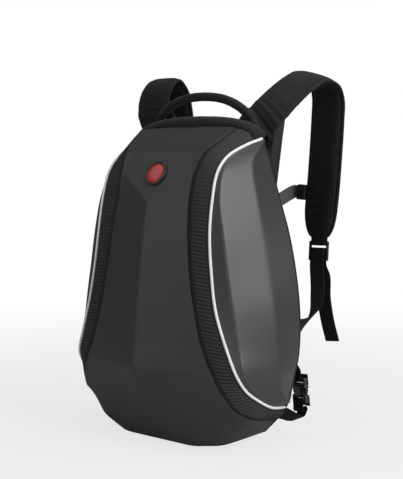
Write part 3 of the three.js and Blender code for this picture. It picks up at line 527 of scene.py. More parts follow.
# %% [markdown]
# ## Side shells
# Each side is moulded in one piece too, but its creases are soft. Four lines are enough: straight strips
# join piping, brow, hip and seam, and a few averaging passes soften the creases between them. The brow is
# drawn forwards at the top and the hip stands a little proud, so the strip between them is broad.

# %% Build the side shells
HIP_FORWARD, HIP_PROUD = 0.16, 4 * MM
down_share = np.linspace(0, 1, ROWS)
BROW_STATIONS, BROW_DRAWN, SIDE_COLUMNS = [0, 0.25, 0.5, 1], [0.45, 0.4, 0.2, 0.1], [12, 26, 16]
drawn = np.interp(down_share, BROW_STATIONS, BROW_DRAWN)[:, None]
brow_crease = brow_line + drawn * (piping_line - brow_line)
hip_crease = hip_line + HIP_FORWARD * (brow_line - hip_line) + [HIP_PROUD, 0, 0]
side_lines = [piping_line, brow_crease, hip_crease, seam_line]
side_half = eased(straight_across(side_lines, SIDE_COLUMNS), 2, 6)
side_film = moulded_film("side film", 0.045, 0.33)
for hand, grid, turned in (("right", side_half, True), ("left", mirrored(side_half), False)):
    side = walled(surface(f"side_skin_{hand}", grid, flip=turned), SHELL_WALL, SIDE_RIM)
    dress(side, side_film, "side", f"side_shell_{hand}")

# %% [markdown]
# ## Zip bands
# Between panel and piping lies a band of ribbed cloth with the zip along its inner side. Across it, the
# surface dips into the zip's groove, rises to a slight crown and ends flat in the stitched strip beside
# the piping. Along it, ribs run across the cloth, and they are faint near the top. The relief is added
# along the normals. Its colour paints shade: darkest in the groove and the stitched strip, and darker
# in the troughs between the ribs than on their crests.

# %% Build the zip bands
BAND_ROWS, BAND_COLUMNS, BAND_CROWN, CLOTH_WALL = 900, 40, 2 * MM, 1.2 * MM
GROOVE, STRIP, GROOVE_DEPTH, STRIP_DEPTH = (v * MM for v in (7, 6, 1, 0.6))
RIB_PITCH, RIB_HEIGHT, RIB_SLANT = 5.2 * MM, 0.6 * MM, 0.12


def risen(x, low, high):
    """A soft step from 0 to 1 between low and high."""
    t = np.clip((x - low) / (high - low), 0, 1)
    return t * t * (3 - 2 * t)


edge_fine, piping_fine = (curve_through(line[::5], BAND_ROWS) for line in (edge_line, piping_line))
share = np.linspace(0, 1, BAND_COLUMNS)[None, :, None]
band_flat = edge_fine[:, None] * (1 - share) + piping_fine[:, None] * share
band_width = np.linalg.norm(piping_fine - edge_fine, axis=1)[:, None]
from_edge = band_width * share[..., 0]
from_piping = band_width - from_edge
crown = BAND_CROWN * np.sin(np.pi * share[..., 0])
run = (arc_lengths(band_flat, 0) * MM)[:, None]
ribs = np.sin(2 * np.pi * (run - RIB_SLANT * from_edge) / RIB_PITCH)
ribs = ribs * (0.2 + 0.8 * risen(np.linspace(0, 1, BAND_ROWS)[:, None], 0.2, 0.38))
cloth_part = risen(from_edge, GROOVE * 0.8, GROOVE * 1.2) * risen(from_piping, STRIP * 0.7, STRIP)
groove = GROOVE_DEPTH * (1 - risen(from_edge, GROOVE * 0.55, GROOVE))
stitched = STRIP_DEPTH * (1 - risen(from_piping, STRIP * 0.7, STRIP))
relief = crown + cloth_part * RIB_HEIGHT * ribs - (groove + stitched)
band_normals = grid_normals(band_flat)
outward = np.sign(np.sum(band_normals * (band_flat - [0, BACK_Y, HEIGHT / 2]), -1, keepdims=True))
band_grid = band_flat + band_normals * outward * relief[..., None]

band_cloth = Finish("ribbed zip cloth")
u, v, _ = band_cloth.cloth_place()
weave = band_cloth.wave(u, 0.9) * band_cloth.wave(v, 0.9)
fuzz = band_cloth.noise(1.5)
cloth_and_painted_shade = band_cloth.attribute("ribs_and_painted_shade")
# Painted shade: the colour is darkest in the zip's groove and the stitched strip, and darker in the rib
# troughs than on the crests.
band_cloth.done(
    Base_Color=band_cloth.blend(cloth_and_painted_shade * (fuzz * 0.3 + 0.7), grey(0.012), grey(0.05)),
    Roughness=cloth_and_painted_shade * 0.15 + 0.6, Specular_IOR_Level=0.3,
    Normal=band_cloth.relief(weave + fuzz * 0.5, 0.00015, 0.6))
for hand, grid, turned in (("right", band_grid, True), ("left", mirrored(band_grid), False)):
    band = surface(f"zip_cloth_{hand}", grid, flip=turned)
    # The stored number paints shade: 0 in the groove and the stitched strip, and lower in the rib troughs.
    marked(band, "ribs_and_painted_shade", cloth_part * (0.62 + 0.38 * ribs))
    thickened(band, CLOTH_WALL)
    dress(band, band_cloth.material, "band", f"zip_band_{hand}")

# %% [markdown]
# ## Profiles carried along a path
# Piping, roll, handle, straps and webbing are all a profile that travels along a path. At each station
# the travelling frame has the path's direction, a side that stays close to a wanted one, and the face
# that is square to both.

# %% Sweep helper
def travelling_frame(path, wanted):
    """Side and face at each point: the wanted side less its part along the path, and their cross."""
    ahead = unit(np.gradient(path, axis=0))
    wanted = np.broadcast_to(np.asarray(wanted, float), path.shape)
    side = unit(wanted - ahead * np.sum(wanted * ahead, -1, keepdims=True))
    return side, np.cross(ahead, side)


def carried(path, wanted, profile):
    """Each profile point's two numbers count along side and face at every station of the path."""
    side, face = travelling_frame(path, wanted)
    profile = np.broadcast_to(profile, (len(path),) + np.shape(profile)[-2:])
    return path[:, None] + profile[..., :1] * side[:, None] + profile[..., 1:] * face[:, None]


def round_profile(half_width, half_thickness, sides, squareness=1.0):
    """A rounded outline: powers of cosine and sine below 1 square its corners off."""
    angle = 2 * np.pi * (np.arange(sides) + 0.5) / sides
    bend = [np.sign(f(angle)) * np.abs(f(angle)) ** squareness for f in (np.cos, np.sin)]
    return np.stack([half_width * bend[0], half_thickness * bend[1]], -1)


def drawn_in(count, rows, least=0.15):
    """A factor for each station that grows from least to 1 over the first rows, as a quarter circle,
    and shrinks again at the far end."""
    near = np.minimum(np.arange(count), np.arange(count)[::-1]) / rows
    return least + (1 - least) * np.sqrt(np.clip(1 - (1 - np.clip(near, 0, 1)) ** 2, 0, 1))


# %% [markdown]
# ## Piping
# The white piping is a round plastic cord. It lies in the seam between band and side, so its path is the
# piping line itself.

# %% Build the piping
white_cord = Finish("white piping")
scuff = white_cord.noise(0.15, detail=4.0)
white_cord.done(Base_Color=white_cord.blend(scuff, grey(0.88), grey(0.94)), Roughness=scuff * 0.15 + 0.32,
                Normal=white_cord.relief(white_cord.noise(1.0), 0.00005, 0.4))
PIPING_RADIUS = 2 * MM
PIPING_END = -6
piping_path = curve_through(piping_line[::4], 420)[:PIPING_END]
piping_profile = round_profile(PIPING_RADIUS, PIPING_RADIUS, 16)
for hand, path in (("right", piping_path), ("left", mirrored(piping_path))):
    cord = surface(f"piping_cord_{hand}", carried(path, [1, 0, 0], piping_profile), tube=True)
    dress(cord, white_cord.material, "piping", f"piping_{hand}")

# %% [markdown]
# ## Black cloth
# Roll, handle, straps and wings are sewn from one black nylon. Its plain weave is drawn on the UV map,
# so the threads follow every bend: two ripples that cross at the thread pitch, a slow unevenness, and a
# faint sheen for the fuzz that stands up from the yarn.

# %% Nylon and webbing finishes
def nylon(name, level, thread=0.9):
    cloth = Finish(name)
    u, v, uv = cloth.cloth_place()
    warp, weft = cloth.wave(u, thread), cloth.wave(v, thread)
    check = cloth.node("TexChecker", None, {"Vector": uv, "Scale": 2 / thread}, "Fac")
    weave = check * warp + (1 - check) * weft
    slow = cloth.noise(0.03, detail=3.0)
    tone = cloth.blend(weave * 0.45 + slow * 0.55, grey(level * 0.7), grey(level * 1.25))
    return cloth.done(Base_Color=tone, Roughness=slow * 0.12 + 0.64, Specular_IOR_Level=0.3,
                      Sheen_Weight=0.1, Sheen_Roughness=0.4,
                      Normal=cloth.relief(weave + slow * 0.6, 0.00018, 0.6))


def webbing(name, level):
    """Strap web: chevron ribs run along it, and its two selvedges are smooth."""
    web = Finish(name)
    u, v, _ = web.cloth_place()
    chevron = web.wave(v + u.math("PINGPONG", 3.0) * 0.8, 1.6)
    yarn = web.wave(u, 1.5)
    body = chevron * 0.6 + yarn * 0.4
    slow = web.noise(0.05)
    tone = web.blend(body * 0.7 + slow * 0.3, grey(level * 0.6), grey(level * 1.3))
    return web.done(Base_Color=tone, Roughness=slow * 0.1 + 0.65, Specular_IOR_Level=0.22,
                    Normal=web.relief(body, 0.0003, 0.7))


black_cloth = nylon("black nylon", 0.013)
black_web = webbing("black webbing", 0.011)
grey_web = webbing("grey webbing", 0.11)

# %% [markdown]
# ## Top roll
# A padded roll of cloth closes the top, where the shell meets the back. Its path is half an arch and its
# mirror image. The section is a squared oval, a little flatter at the ends, and small creases run across
# it where the cloth is gathered round the bend.

# %% Build the roll
def both_halves(half, count):
    """A curve through one half's points and their mirror image."""
    half = np.asarray(half, float)
    return curve_through(np.concatenate([half, half[-2::-1] * [-1, 1, 1]]), count)


def creases(run, pitch, seed):
    """Uneven small waves along a run: three sines whose pitches share no common multiple."""
    phase = np.random.default_rng(seed).uniform(0, 2 * np.pi, 3)
    parts = [np.sin(2 * np.pi * run / (pitch * k) + p) for k, p in zip((1, 1.618, 2.71), phase)]
    return sum(parts) / 3


ROLL_REACH, ROLL_HALF_DEPTH, ROLL_HALF_HEIGHT, CLOTH_ROUNDNESS = 110 * MM, 15 * MM, 13 * MM, 0.8
roll_half = body_points([[1, .052, .953], [.91, .068, .974], [.6, .09, .996], [0, .098, 1.005]])
roll_half[:, 0] *= ROLL_REACH / HALF_WIDTH
roll_path = both_halves(roll_half, 241)
roll_swell = 0.6 + 0.4 * drawn_in(len(roll_path), 12, 0.0)
roll_run = run_along(roll_path)[:, None, None]
roll_ring = round_profile(ROLL_HALF_DEPTH, ROLL_HALF_HEIGHT, 40, CLOTH_ROUNDNESS)
roll_angle = np.linspace(0, 6 * np.pi, 40)[None, :, None]
roll_profile = roll_ring * roll_swell[:, None, None] * (1 + 0.012 * creases(
    roll_run + 4 * np.sin(roll_angle), 17, seed=3))
roll = surface("top_roll_cloth", carried(roll_path, [0, 1, 0], roll_profile), tube=True)
dress(roll, black_cloth, "cloth", "top_roll")

# %% [markdown]
# ## Grab handle
# The handle is a strip of the same cloth sewn round a soft core. It stands on the binding behind the
# roll, leans a little forwards and keeps a bare surface.

# %% Build the handle
HANDLE_HALF_SPAN, HANDLE_LEAN, HANDLE_RISE = 101 * MM, 6 * MM, 62 * MM
HANDLE_SEAT_Y, HANDLE_FOOT_Z = 56.5 * MM, 432 * MM
handle_shares = np.array([[1, 0, 0], [.96, 0, .22], [.87, .2, .48],
                          [.68, .55, .74], [.4, .85, .93], [0, 1, 1]])
handle_reach = np.array([HANDLE_HALF_SPAN, -HANDLE_LEAN, HANDLE_RISE])
handle_half = [0, HANDLE_SEAT_Y, HANDLE_FOOT_Z] + handle_shares * handle_reach
handle_path = both_halves(handle_half, 261)
handle_run = run_along(handle_path)[:, None, None]
handle_ring = round_profile(5.5 * MM, 6.5 * MM, 32, CLOTH_ROUNDNESS)
seam_dip = 1 - 0.1 * np.exp(-((np.arange(32) - 20) / 1.2) ** 2)[None, :, None]
handle_profile = handle_ring * seam_dip * (1 + 0.02 * creases(handle_run, 9, seed=5))
handle = surface("handle_cloth", carried(handle_path, [0, 1, 0], handle_profile), tube=True)
dress(handle, black_cloth, "cloth", "handle")

# %% [markdown]
# ## Shoulder straps
# Each strap is a sandwich: smooth cloth outside, foam inside, air mesh against the wearer, and a tape
# bound round the edge. The section has a rounded binding at each side, a sewn channel next to it, and a
# crown between, which is higher on the wearer's side. The path runs up from the back, over and down. The
# cloth is gathered into wrinkles at the root, and two bar tacks near the tip hold the tab of the lock.

# %% Paths of the straps
STRAP_SEAT_Y, STRAP_REACH, STRAP_HALF_WIDTH = 68.3 * MM, 175 * MM, 35 * MM
STRAP_SHARES = {
    "right": [[.43, 0, .907], [.445, 0, .956], [.5, .026, 1.004], [.57, .134, 1.058], [.6, .283, 1.104],
              [.62, .466, 1.147], [.612, .67, 1.171], [.606, .85, 1.151], [.6, .925, 1.1],
              [.594, .93, 1.033], [.592, .9, .896], [.58, .885, .79], [.568, .875, .722],
              [.568, .862, .672], [.57, .85, .626]],
    "left": [[-.43, 0, .907], [-.47, 0, .956], [-.57, 0, 1.011], [-.64, .01, 1.07], [-.65, .06, 1.13],
             [-.645, .175, 1.167], [-.63, .275, 1.13], [-.615, .305, 1.07], [-.594, .32, .978],
             [-.583, .355, .844], [-.577, .38, .7], [-.571, .395, .55], [-.571, .4, .42]],
}


def behind_seat(shares):
    """Shares of the half width, of the reach behind the straps' seat and of the height, in metres."""
    x, out, z = np.moveaxis(np.asarray(shares, float), -1, 0)
    return np.stack([x * HALF_WIDTH, STRAP_SEAT_Y + out * STRAP_REACH, z * HEIGHT], -1)


STRAP_DIP, DIP_END, STRAP_NARROWEST = {"right": 0.3, "left": 0.0}, 0.7, 0.86
STRAP_STATIONS, NARROWING = 301, (0.1, 0.4)


def strap_side(hand, count):
    """The way across a strap: level at its ends, and dipping outwards as half a sine wave between."""
    t = np.linspace(0, 1, count)
    dip = STRAP_DIP[hand] * np.sin(np.pi * np.minimum(t / DIP_END, 1))
    return np.stack([np.ones(count), np.zeros(count), -dip], -1)


def strap_width_share(count):
    """1 at the root, and a soft step down to the narrowest share over the shoulder."""
    return 1 - (1 - STRAP_NARROWEST) * risen(np.linspace(0, 1, count), *NARROWING)


strap_paths = {hand: curve_through(behind_seat(shares), STRAP_STATIONS)
               for hand, shares in STRAP_SHARES.items()}
print({hand: round(run_along(path)[-1]) for hand, path in strap_paths.items()}, "mm of strap")

# %% Section and surface of the straps
BOUND_HALF, CROWN_IN, CROWN_OUT, CHANNEL_AT = 2.6 * MM, 4.6 * MM, 2.4 * MM, 29.5 * MM


def strap_section():
    """Half turn over the wearer's side and half turn back: a bound rim, a channel and a crown."""
    x = STRAP_HALF_WIDTH * np.sin(np.linspace(-np.pi / 2, np.pi / 2, 41))
    rim = BOUND_HALF * np.clip(1 - np.abs(x / STRAP_HALF_WIDTH) ** 14, 0, 1) ** 0.5
    crown = np.clip(1 - np.abs(x / CHANNEL_AT) ** 3, 0, 1) ** 0.8
    dip = 0.9 * MM * np.exp(-((np.abs(x) - CHANNEL_AT) / (1.1 * MM)) ** 2)
    inside = np.stack([x, rim + CROWN_IN * crown - dip], -1)
    outside = np.stack([x, -(rim + CROWN_OUT * crown - dip)], -1)[::-1]
    return np.concatenate([inside[:-1], outside[:-1]])


TIP_SHARE, TIP_RUN, WRINKLE_HEIGHT, WRINKLE_PITCH = 0.42, 50, 2 * MM, 11
WRINKLES_AT, WRINKLES_OVER = 45, 40


def strap_profiles(count, run):
    """The section at each station: narrower round the tip, thinner at both ends, creased at the root."""
    left = run[-1] - run
    rounding = np.sqrt(np.clip(1 - (1 - np.clip(left / TIP_RUN, 0, 1)) ** 2, 0, 1))
    taper = TIP_SHARE + (1 - TIP_SHARE) * rounding
    taper = taper * strap_width_share(count)
    thin = 0.55 + 0.45 * risen(left, 0, 22) * risen(run, -10, 20)
    section = strap_section()
    profile = np.empty((count,) + section.shape)
    profile[..., 0] = section[:, 0] * taper[:, None]
    root = np.exp(-((run - WRINKLES_AT) / WRINKLES_OVER) ** 2)[:, None]
    slanted = run[:, None] + 0.3 * section[:, 0] / MM
    wrinkle = WRINKLE_HEIGHT * root * creases(slanted, WRINKLE_PITCH, seed=8)
    profile[..., 1] = section[:, 1] * thin[:, None] + wrinkle
    return profile


strap_finish = Finish("strap cloth and air mesh")
u, v, uv = strap_finish.cloth_place()
on_mesh = strap_finish.attribute("mesh_side")
on_tape = strap_finish.attribute("bound_edge")
on_tack = strap_finish.attribute("bar_tack")
cells = strap_finish.node("TexVoronoi", {"feature": "DISTANCE_TO_EDGE"}, {"Vector": uv, "Scale": 0.45})
holes = cells.within(0.02, 0.2)
weave = strap_finish.wave(u, 0.9) * strap_finish.wave(v, 0.9)
tape_rib = strap_finish.wave(v, 1.3)
slow = strap_finish.noise(0.03, detail=3.0)
cloth_tone = strap_finish.blend(weave * 0.4 + slow * 0.6, grey(0.005), grey(0.01))
# Painted shade: the holes of the air mesh get a darker grey than its strands, which keep their own colour.
mesh_tone_and_hole_shade = strap_finish.blend(holes, grey(0.012), grey(0.004))
faces_tone = strap_finish.blend(on_mesh, cloth_tone, mesh_tone_and_hole_shade)
sewn_tone = strap_finish.blend(on_tape, faces_tone, grey(0.012))
strap_finish.done(
    Base_Color=strap_finish.blend(on_tack, sewn_tone, grey(0.001)),
    Roughness=on_mesh * 0.05 + on_tack * 0.2 + 0.6, Specular_IOR_Level=0.22,
    Sheen_Weight=0.08, Sheen_Roughness=0.4,
    Normal=strap_finish.relief(on_mesh * holes * -1.5 + weave * (1 - on_mesh) + on_tape * tape_rib,
                               0.0003, 0.6))

section_x = strap_section()[:, 0]
wearer_side = (np.arange(len(section_x)) < 40).astype(float)
tape = risen(np.abs(section_x), CHANNEL_AT, CHANNEL_AT + 1 * MM)
TACKS_BEFORE_TIP, TACK_HALF_HEIGHT, TACK_HALF_WIDTH = [33, 50], 4, 10 * MM
for hand, path in strap_paths.items():
    run = run_along(path)
    to_tack = np.min([np.abs(run[-1] - run - place) for place in TACKS_BEFORE_TIP], 0)
    tacks = (to_tack < TACK_HALF_HEIGHT)[:, None] * wearer_side * (np.abs(section_x) < TACK_HALF_WIDTH)
    profile = strap_profiles(len(path), run)
    strap = surface(f"strap_{hand}", carried(path, strap_side(hand, len(path)), profile), tube=True)
    marked(strap, "mesh_side", np.tile(wearer_side, len(path)))
    marked(strap, "bound_edge", np.tile(tape, len(path)))
    marked(strap, "bar_tack", tacks)
    dress(strap, strap_finish.material, "cloth", f"shoulder_strap_{hand}")

# %% [markdown]
# ## Plastic fittings
# Locks and buckles are moulded in one hard black plastic. Their mesh starts as a flat pattern of cells
# with some left open as slots. The pattern is made thick, and a bevel rounds every edge as a mould does.

# %% Moulded plates
hard_plastic = Finish("black acetal")
polish = hard_plastic.noise(0.3, detail=4.0)
spark = hard_plastic.noise(4.0, detail=2.0)
hard_plastic.done(Base_Color=hard_plastic.blend(polish, grey(0.012), grey(0.022)),
                  Roughness=polish * 0.12 + 0.3,
                  Normal=hard_plastic.relief(spark, 0.00006, 0.5))


def placed(points, place):
    """Points counted along a place's right, up and rear directions, from its centre."""
    centre, right, up, rear = place
    points = np.asarray(points, float)
    return centre + points[..., :1] * right + points[..., 1:2] * up + points[..., 2:] * rear


def slotted_plate(name, place, xs, ys, slots, thickness, rounding):
    """Cells between the x and y lines, less the open slots, made thick and rounded."""
    cells = [(i, j) for i in range(len(xs) - 1) for j in range(len(ys) - 1) if (i, j) not in slots]
    build = bmesh.new()
    corner = {}
    for i, j in cells:
        for a, b in ((i, j), (i + 1, j), (i + 1, j + 1), (i, j + 1)):
            if (a, b) not in corner:
                at = placed([xs[a], ys[b], -thickness / 2], place)
                corner[a, b] = build.verts.new(at)
    faces = [build.faces.new([corner[i, j], corner[i, j + 1], corner[i + 1, j + 1], corner[i + 1, j]])
             for i, j in cells]
    grown = bmesh.ops.extrude_face_region(build, geom=faces)
    lifted = [v for v in grown["geom"] if isinstance(v, bmesh.types.BMVert)]
    bmesh.ops.translate(build, verts=lifted, vec=Vector(place[3] * thickness))
    bmesh.ops.recalc_face_normals(build, faces=build.faces)
    mesh = bpy.data.meshes.new(name)
    build.to_mesh(mesh)
    build.free()
    mesh.shade_smooth()
    made = bpy.data.objects.new(name, mesh)
    bpy.context.scene.collection.objects.link(made)
    edge = made.modifiers.new("mould", "BEVEL")
    edge.width, edge.segments, edge.limit_method, edge.angle_limit = rounding, 3, "ANGLE", np.radians(40)
    edge.harden_normals = False
    return made


# %% Ladder locks
LOCK_WIDTH, LOCK_HEIGHT, LOCK_BAR, LOCK_THICKNESS = 35 * MM, 30 * MM, 4 * MM, 4 * MM
TAB_LENGTH, CLEARANCE, SKIN_GAP = 5 * MM, 0.3 * MM, 0.5 * MM
LOCK_HIGH, LOCK_ROUNDING = LOCK_HEIGHT / 2, 1.1 * MM


def strap_end(hand):
    """The last point of a strap's path, the way it points there and its side."""
    path = curve_through(behind_seat(STRAP_SHARES[hand]), 31)
    ahead = unit(path[-1] - path[-2])
    across = unit(np.array([1, 0, 0]) - ahead * ahead[0])
    return path[-1], ahead, across


lock_places = {}
for hand in ("right", "left"):
    tip, ahead, across = strap_end(hand)
    up = -ahead
    rear = -np.cross(across, up)
    centre = tip + ahead * (LOCK_HIGH + TAB_LENGTH + CLEARANCE)
    lock_places[hand] = (centre, np.cross(up, rear), up, rear)
    half = LOCK_WIDTH / 2
    hole = (LOCK_HEIGHT - 3 * LOCK_BAR) / 2
    xs = [-half, -half + LOCK_BAR, half - LOCK_BAR, half]
    ys = np.cumsum([-LOCK_HIGH, LOCK_BAR, hole, LOCK_BAR, hole, LOCK_BAR])
    lock = slotted_plate(f"lock_{hand}", lock_places[hand], xs, ys, {(1, 1), (1, 3)},
                         LOCK_THICKNESS, LOCK_ROUNDING)
    dress(lock, hard_plastic.material, "fittings", f"ladder_lock_{hand}")

# %% [markdown]
# ## Webbing
# Flat woven straps join the shell to the shoulder straps. Each one starts square on the rear binding,
# twists on its way, turns over a bar of the lock and hangs down as a free tail with a hemmed end. The
# centre line runs through a few points, and the side turns evenly from one to the next.

# %% Ribbons of webbing
WEB_WIDTH, WEB_THICKNESS, WEB_STUB, WEB_SLACK = 25 * MM, 1.8 * MM, 6 * MM, 0.3 * MM
BINDING_END = 60 * MM
TURN_BULGE = 0.6 * MM


def rooted(shares):
    """A route that starts square on the rear face of the binding."""
    points = behind_seat(shares)
    points[0, 1] = BINDING_END + CLEARANCE
    return np.concatenate([points[:1], points[:1] + [0, WEB_STUB, 0], points[1:]])


def in_place(place, pairs):
    """Points in a place's plane of up and rear."""
    pairs = np.asarray(pairs, float)
    return placed(np.stack([pairs[:, 0] * 0, pairs[:, 0], pairs[:, 1]], -1), place)


def turn(edge, away, offset):
    """A turn of webbing over the far edge of a bar, as heights and offsets from the bar's middle."""
    corner = edge + away * (WEB_THICKNESS / 2 + CLEARANCE + WEB_SLACK)
    return [[edge - away * 2 * MM, -offset], [corner, CLEARANCE - offset], [corner + away * TURN_BULGE, 0],
            [corner, offset - CLEARANCE], [edge - away * 2 * MM, offset]]


def ribbon(name, route, sides, width, count=240, hem=False):
    """A flat woven strap along a route; its side is read off between the given ones."""
    path = curve_through(route, count)
    side = unit(straight_through(sides, count))
    half = np.full(count, WEB_THICKNESS / 2)
    if hem:
        half += 0.5 * MM * risen(np.linspace(0, 1, count), 0.955, 0.965)
    ring = round_profile(width / 2, 1.0, 28, 0.35)
    profile = np.stack([np.broadcast_to(ring[:, 0], (count, 28)), half[:, None] * ring[:, 1]], -1)
    return surface(name, carried(path, side, profile), tube=True)


RUNS = {
    "right": [[.96, 0, .373], [.954, .09, .382], [.869, .353, .409], [.646, .713, .458]],
    "left": [[-.96, 0, .373], [-.954, .067, .369], [-.846, .238, .324], [-.651, .341, .276]],
}
TAILS = {
    "right": [[.59, .89, .493], [.6, .885, .42], [.622, .91, .34], [.643, .965, .264]],
    "left": [[-.577, .444, .3], [-.583, .461, .233], [-.589, .467, .167], [-.594, .467, .116]],
}
lock_offset = LOCK_THICKNESS / 2 + CLEARANCE + WEB_THICKNESS / 2 + WEB_SLACK
for hand, sign in (("right", 1), ("left", -1)):
    place = lock_places[hand]
    across = place[1] * np.sign(place[1][0])
    tab_top = LOCK_HIGH + TAB_LENGTH
    tab_route = in_place(place, [[tab_top + 6 * MM, -lock_offset], [tab_top, -lock_offset],
                                 *turn(LOCK_HIGH - LOCK_BAR, -1, lock_offset),
                                 [tab_top, lock_offset], [tab_top + 6 * MM, lock_offset]])
    tab = ribbon(f"lock_tab_{hand}", tab_route, [across] * len(tab_route), WEB_WIDTH, 90)
    dress(tab, black_web, "webbing", f"strap_tab_{hand}")
    over = in_place(place, [
        [-LOCK_HIGH - WEB_STUB, -lock_offset - SKIN_GAP], [-LOCK_HIGH + LOCK_BAR, -lock_offset - SKIN_GAP],
        *turn(LOCK_BAR / 2, 1, lock_offset),
        [-LOCK_HIGH + LOCK_BAR, lock_offset + SKIN_GAP], [-LOCK_HIGH - WEB_STUB, lock_offset + SKIN_GAP]])
    run = rooted(RUNS[hand])
    tail = behind_seat(TAILS[hand])
    route = np.concatenate([run, over, tail])
    share = np.minimum(np.arange(len(route)) / len(run), 1)[:, None]
    sides = unit(np.array([0.1 * sign, 0, 1]) * (1 - share) + across * share)
    web = ribbon(f"adjuster_{hand}", route, sides, WEB_WIDTH, 420, hem=True)
    dress(web, black_web, "webbing", f"adjuster_webbing_{hand}")

# %% [markdown]
# ## Buckles
# Waist belt and sternum strap close with side-release buckles. The female half is a flat sleeve with
# windows at its sides, and the male half a bar for the web with two springy arms that show there.

# %% Build the fastened buckles
BUCKLE_LENGTH, BUCKLE_RIM, BUCKLE_THICKNESS, BUCKLE_BAR, BUCKLE_SLOT = (v * MM for v in (26, 4, 9, 3, 5))
buckle_offset = BUCKLE_THICKNESS / 2 + CLEARANCE + WEB_THICKNESS / 2 + WEB_SLACK


def buckle_frame(at, along, side):
    """Directions of a buckle: its side, the way from the female to the male half, and its rear."""
    x = unit(np.array(along, float))
    z = unit(np.cross(x, side))
    return behind_seat(at), np.cross(z, x), x, z


def buckle(name, frame, web_width):
    """Two slotted plates end to end, and the arms in the female half's windows."""
    half = web_width / 2 + BUCKLE_RIM
    web_half = web_width / 2 + 1 * MM
    low, window = -BUCKLE_LENGTH, 4.5 * MM
    xs = [-half, -half + window, -web_half + 3 * MM, web_half - 3 * MM, half - window, half]
    ys = [low, low + BUCKLE_BAR, low + BUCKLE_BAR + BUCKLE_SLOT, low + 12 * MM, -4 * MM, -CLEARANCE / 2]
    female = slotted_plate(f"{name}_sleeve", frame, xs, ys, {(1, 1), (2, 1), (3, 1), (0, 3), (4, 3)},
                           BUCKLE_THICKNESS, 1.6 * MM)
    base = BUCKLE_BAR + BUCKLE_SLOT + BUCKLE_BAR
    male_xs = [-half, -web_half, web_half, half]
    male_ys = [CLEARANCE / 2, BUCKLE_BAR, BUCKLE_BAR + BUCKLE_SLOT, base]
    male = slotted_plate(f"{name}_plug", frame, male_xs, male_ys, {(1, 1)}, BUCKLE_THICKNESS, 1.6 * MM)
    arm_line = np.linspace(0, 1, 24)
    for hand in (-1, 1):
        bow = half - 2.4 * MM + 1.2 * MM * np.sin(np.pi * arm_line)
        arm_path = placed(np.stack([hand * bow, 2 * MM - 14 * MM * arm_line, 0 * bow], -1), frame)
        arm = surface(f"{name}_arm_{'right' if hand > 0 else 'left'}",
                      carried(arm_path, frame[1], round_profile(1.9 * MM, 2.4 * MM, 16, 0.6)
                              * drawn_in(24, 3, 0.3)[:, None, None]), tube=True)
        dress(arm, hard_plastic.material, "fittings")
    dress(female, hard_plastic.material, "fittings", f"{name}_buckle_female")
    dress(male, hard_plastic.material, "fittings", f"{name}_buckle_male")
    return -BUCKLE_LENGTH + BUCKLE_BAR / 2, base - BUCKLE_BAR / 2


def buckled(name, frame, web_width, looks, slot, routes):
    """A buckle and the two webs that turn over its end bars."""
    centre, right, along, rear = frame
    bars = buckle(name, frame, web_width)
    for (hand, route, first_side), bar, way in zip(routes, bars, (1, -1)):
        place = (centre + along * bar, right, along * way, rear)
        over = in_place(place, [[-2 * WEB_STUB, -buckle_offset], [-WEB_STUB, -buckle_offset],
                                *turn(BUCKLE_BAR / 2, 1, buckle_offset), [-WEB_STUB, buckle_offset]])
        points = np.concatenate([route, over])
        share = np.minimum(np.arange(len(points)) / len(route), 1)[:, None]
        sides = unit(np.array(first_side, float) * (1 - share) + right * share)
        web = ribbon(f"{name}_web_{hand}", points, sides, web_width, 360)
        dress(web, looks, slot, f"{name}_webbing_{hand}")


waist_frame = buckle_frame([.79, .245, .164], [-.12, .02, 1], [.93, -.36, .12])
WAIST_RIGHT = [[.785, 0, .089], [.8, .044, .08], [.815, .12, .066], [.82, .19, .062], [.82, .235, .088]]
WAIST_LEFT = [[-.797, 0, .0933], [-.811, .055, .089], [-.834, .193, .107], [-.811, .29, .164],
              [-.686, .33, .218], [-.4, .325, .24], [0, .29, .248], [.35, .255, .248], [.58, .24, .238]]
buckled("waist", waist_frame, WEB_WIDTH, black_web, "webbing",
        [("right", rooted(WAIST_RIGHT), [.58, 0, .82]), ("left", rooted(WAIST_LEFT), [.58, 0, -.82])])

# %% Sternum strap
SLIDER = np.array([16, 24, 8]) * MM
STERNUM_STATIONS = {"right": 24, "left": 22}
sternum_frame = buckle_frame([.023, .661, .709], [-.66, -.59, -.5], [-.3, -.28, .85])
sternum_routes = []
for hand, sign in (("right", -1), ("left", 1)):
    path = curve_through(behind_seat(STRAP_SHARES[hand]), 31)
    side, face = travelling_frame(path, [1, 0, 0])
    station = STERNUM_STATIONS[hand]
    ahead = unit(path[station + 1] - path[station - 1])
    inwards = side[station] * sign
    centre = path[station] + inwards * (STRAP_HALF_WIDTH * STRAP_NARROWEST + CLEARANCE + SLIDER[0] / 2)
    place = (centre, side[station], ahead, face[station])
    xs = [-SLIDER[0] / 2, -3 * MM, 3 * MM, SLIDER[0] / 2]
    ys = [-SLIDER[1] / 2, -9 * MM, 9 * MM, SLIDER[1] / 2]
    slider = slotted_plate(f"slider_{hand}", place, xs, ys, set(), SLIDER[2], 2 * MM)
    dress(slider, hard_plastic.material, "fittings", f"sternum_slider_{hand}")
    start = centre + inwards * (SLIDER[0] / 2 + CLEARANCE)
    sternum_routes.append((hand, np.stack([start, start + inwards * WEB_STUB]), [0, 0, 1]))
buckled("sternum", sternum_frame, 20 * MM, grey_web, "grey_webbing", sternum_routes)

# %% [markdown]
# ## Badge
# A plain round badge sits on the flat shield above the ridge. Badge and bezel are turned shapes: a
# profile of radius and height, carried round a circle. The badge is gently domed, so it catches light.

# %% Turned pieces
shield_top, shield_middle = ridge_at[2], ridge_at[3]
shield_down = unit(shield_middle - shield_top)
shield_out = np.cross(shield_down, [1, 0, 0])
badge_centre = shield_middle + 2 * MM * shield_down + CLEARANCE * shield_out
badge_place = (badge_centre, np.array([1, 0, 0]), -shield_down, shield_out)


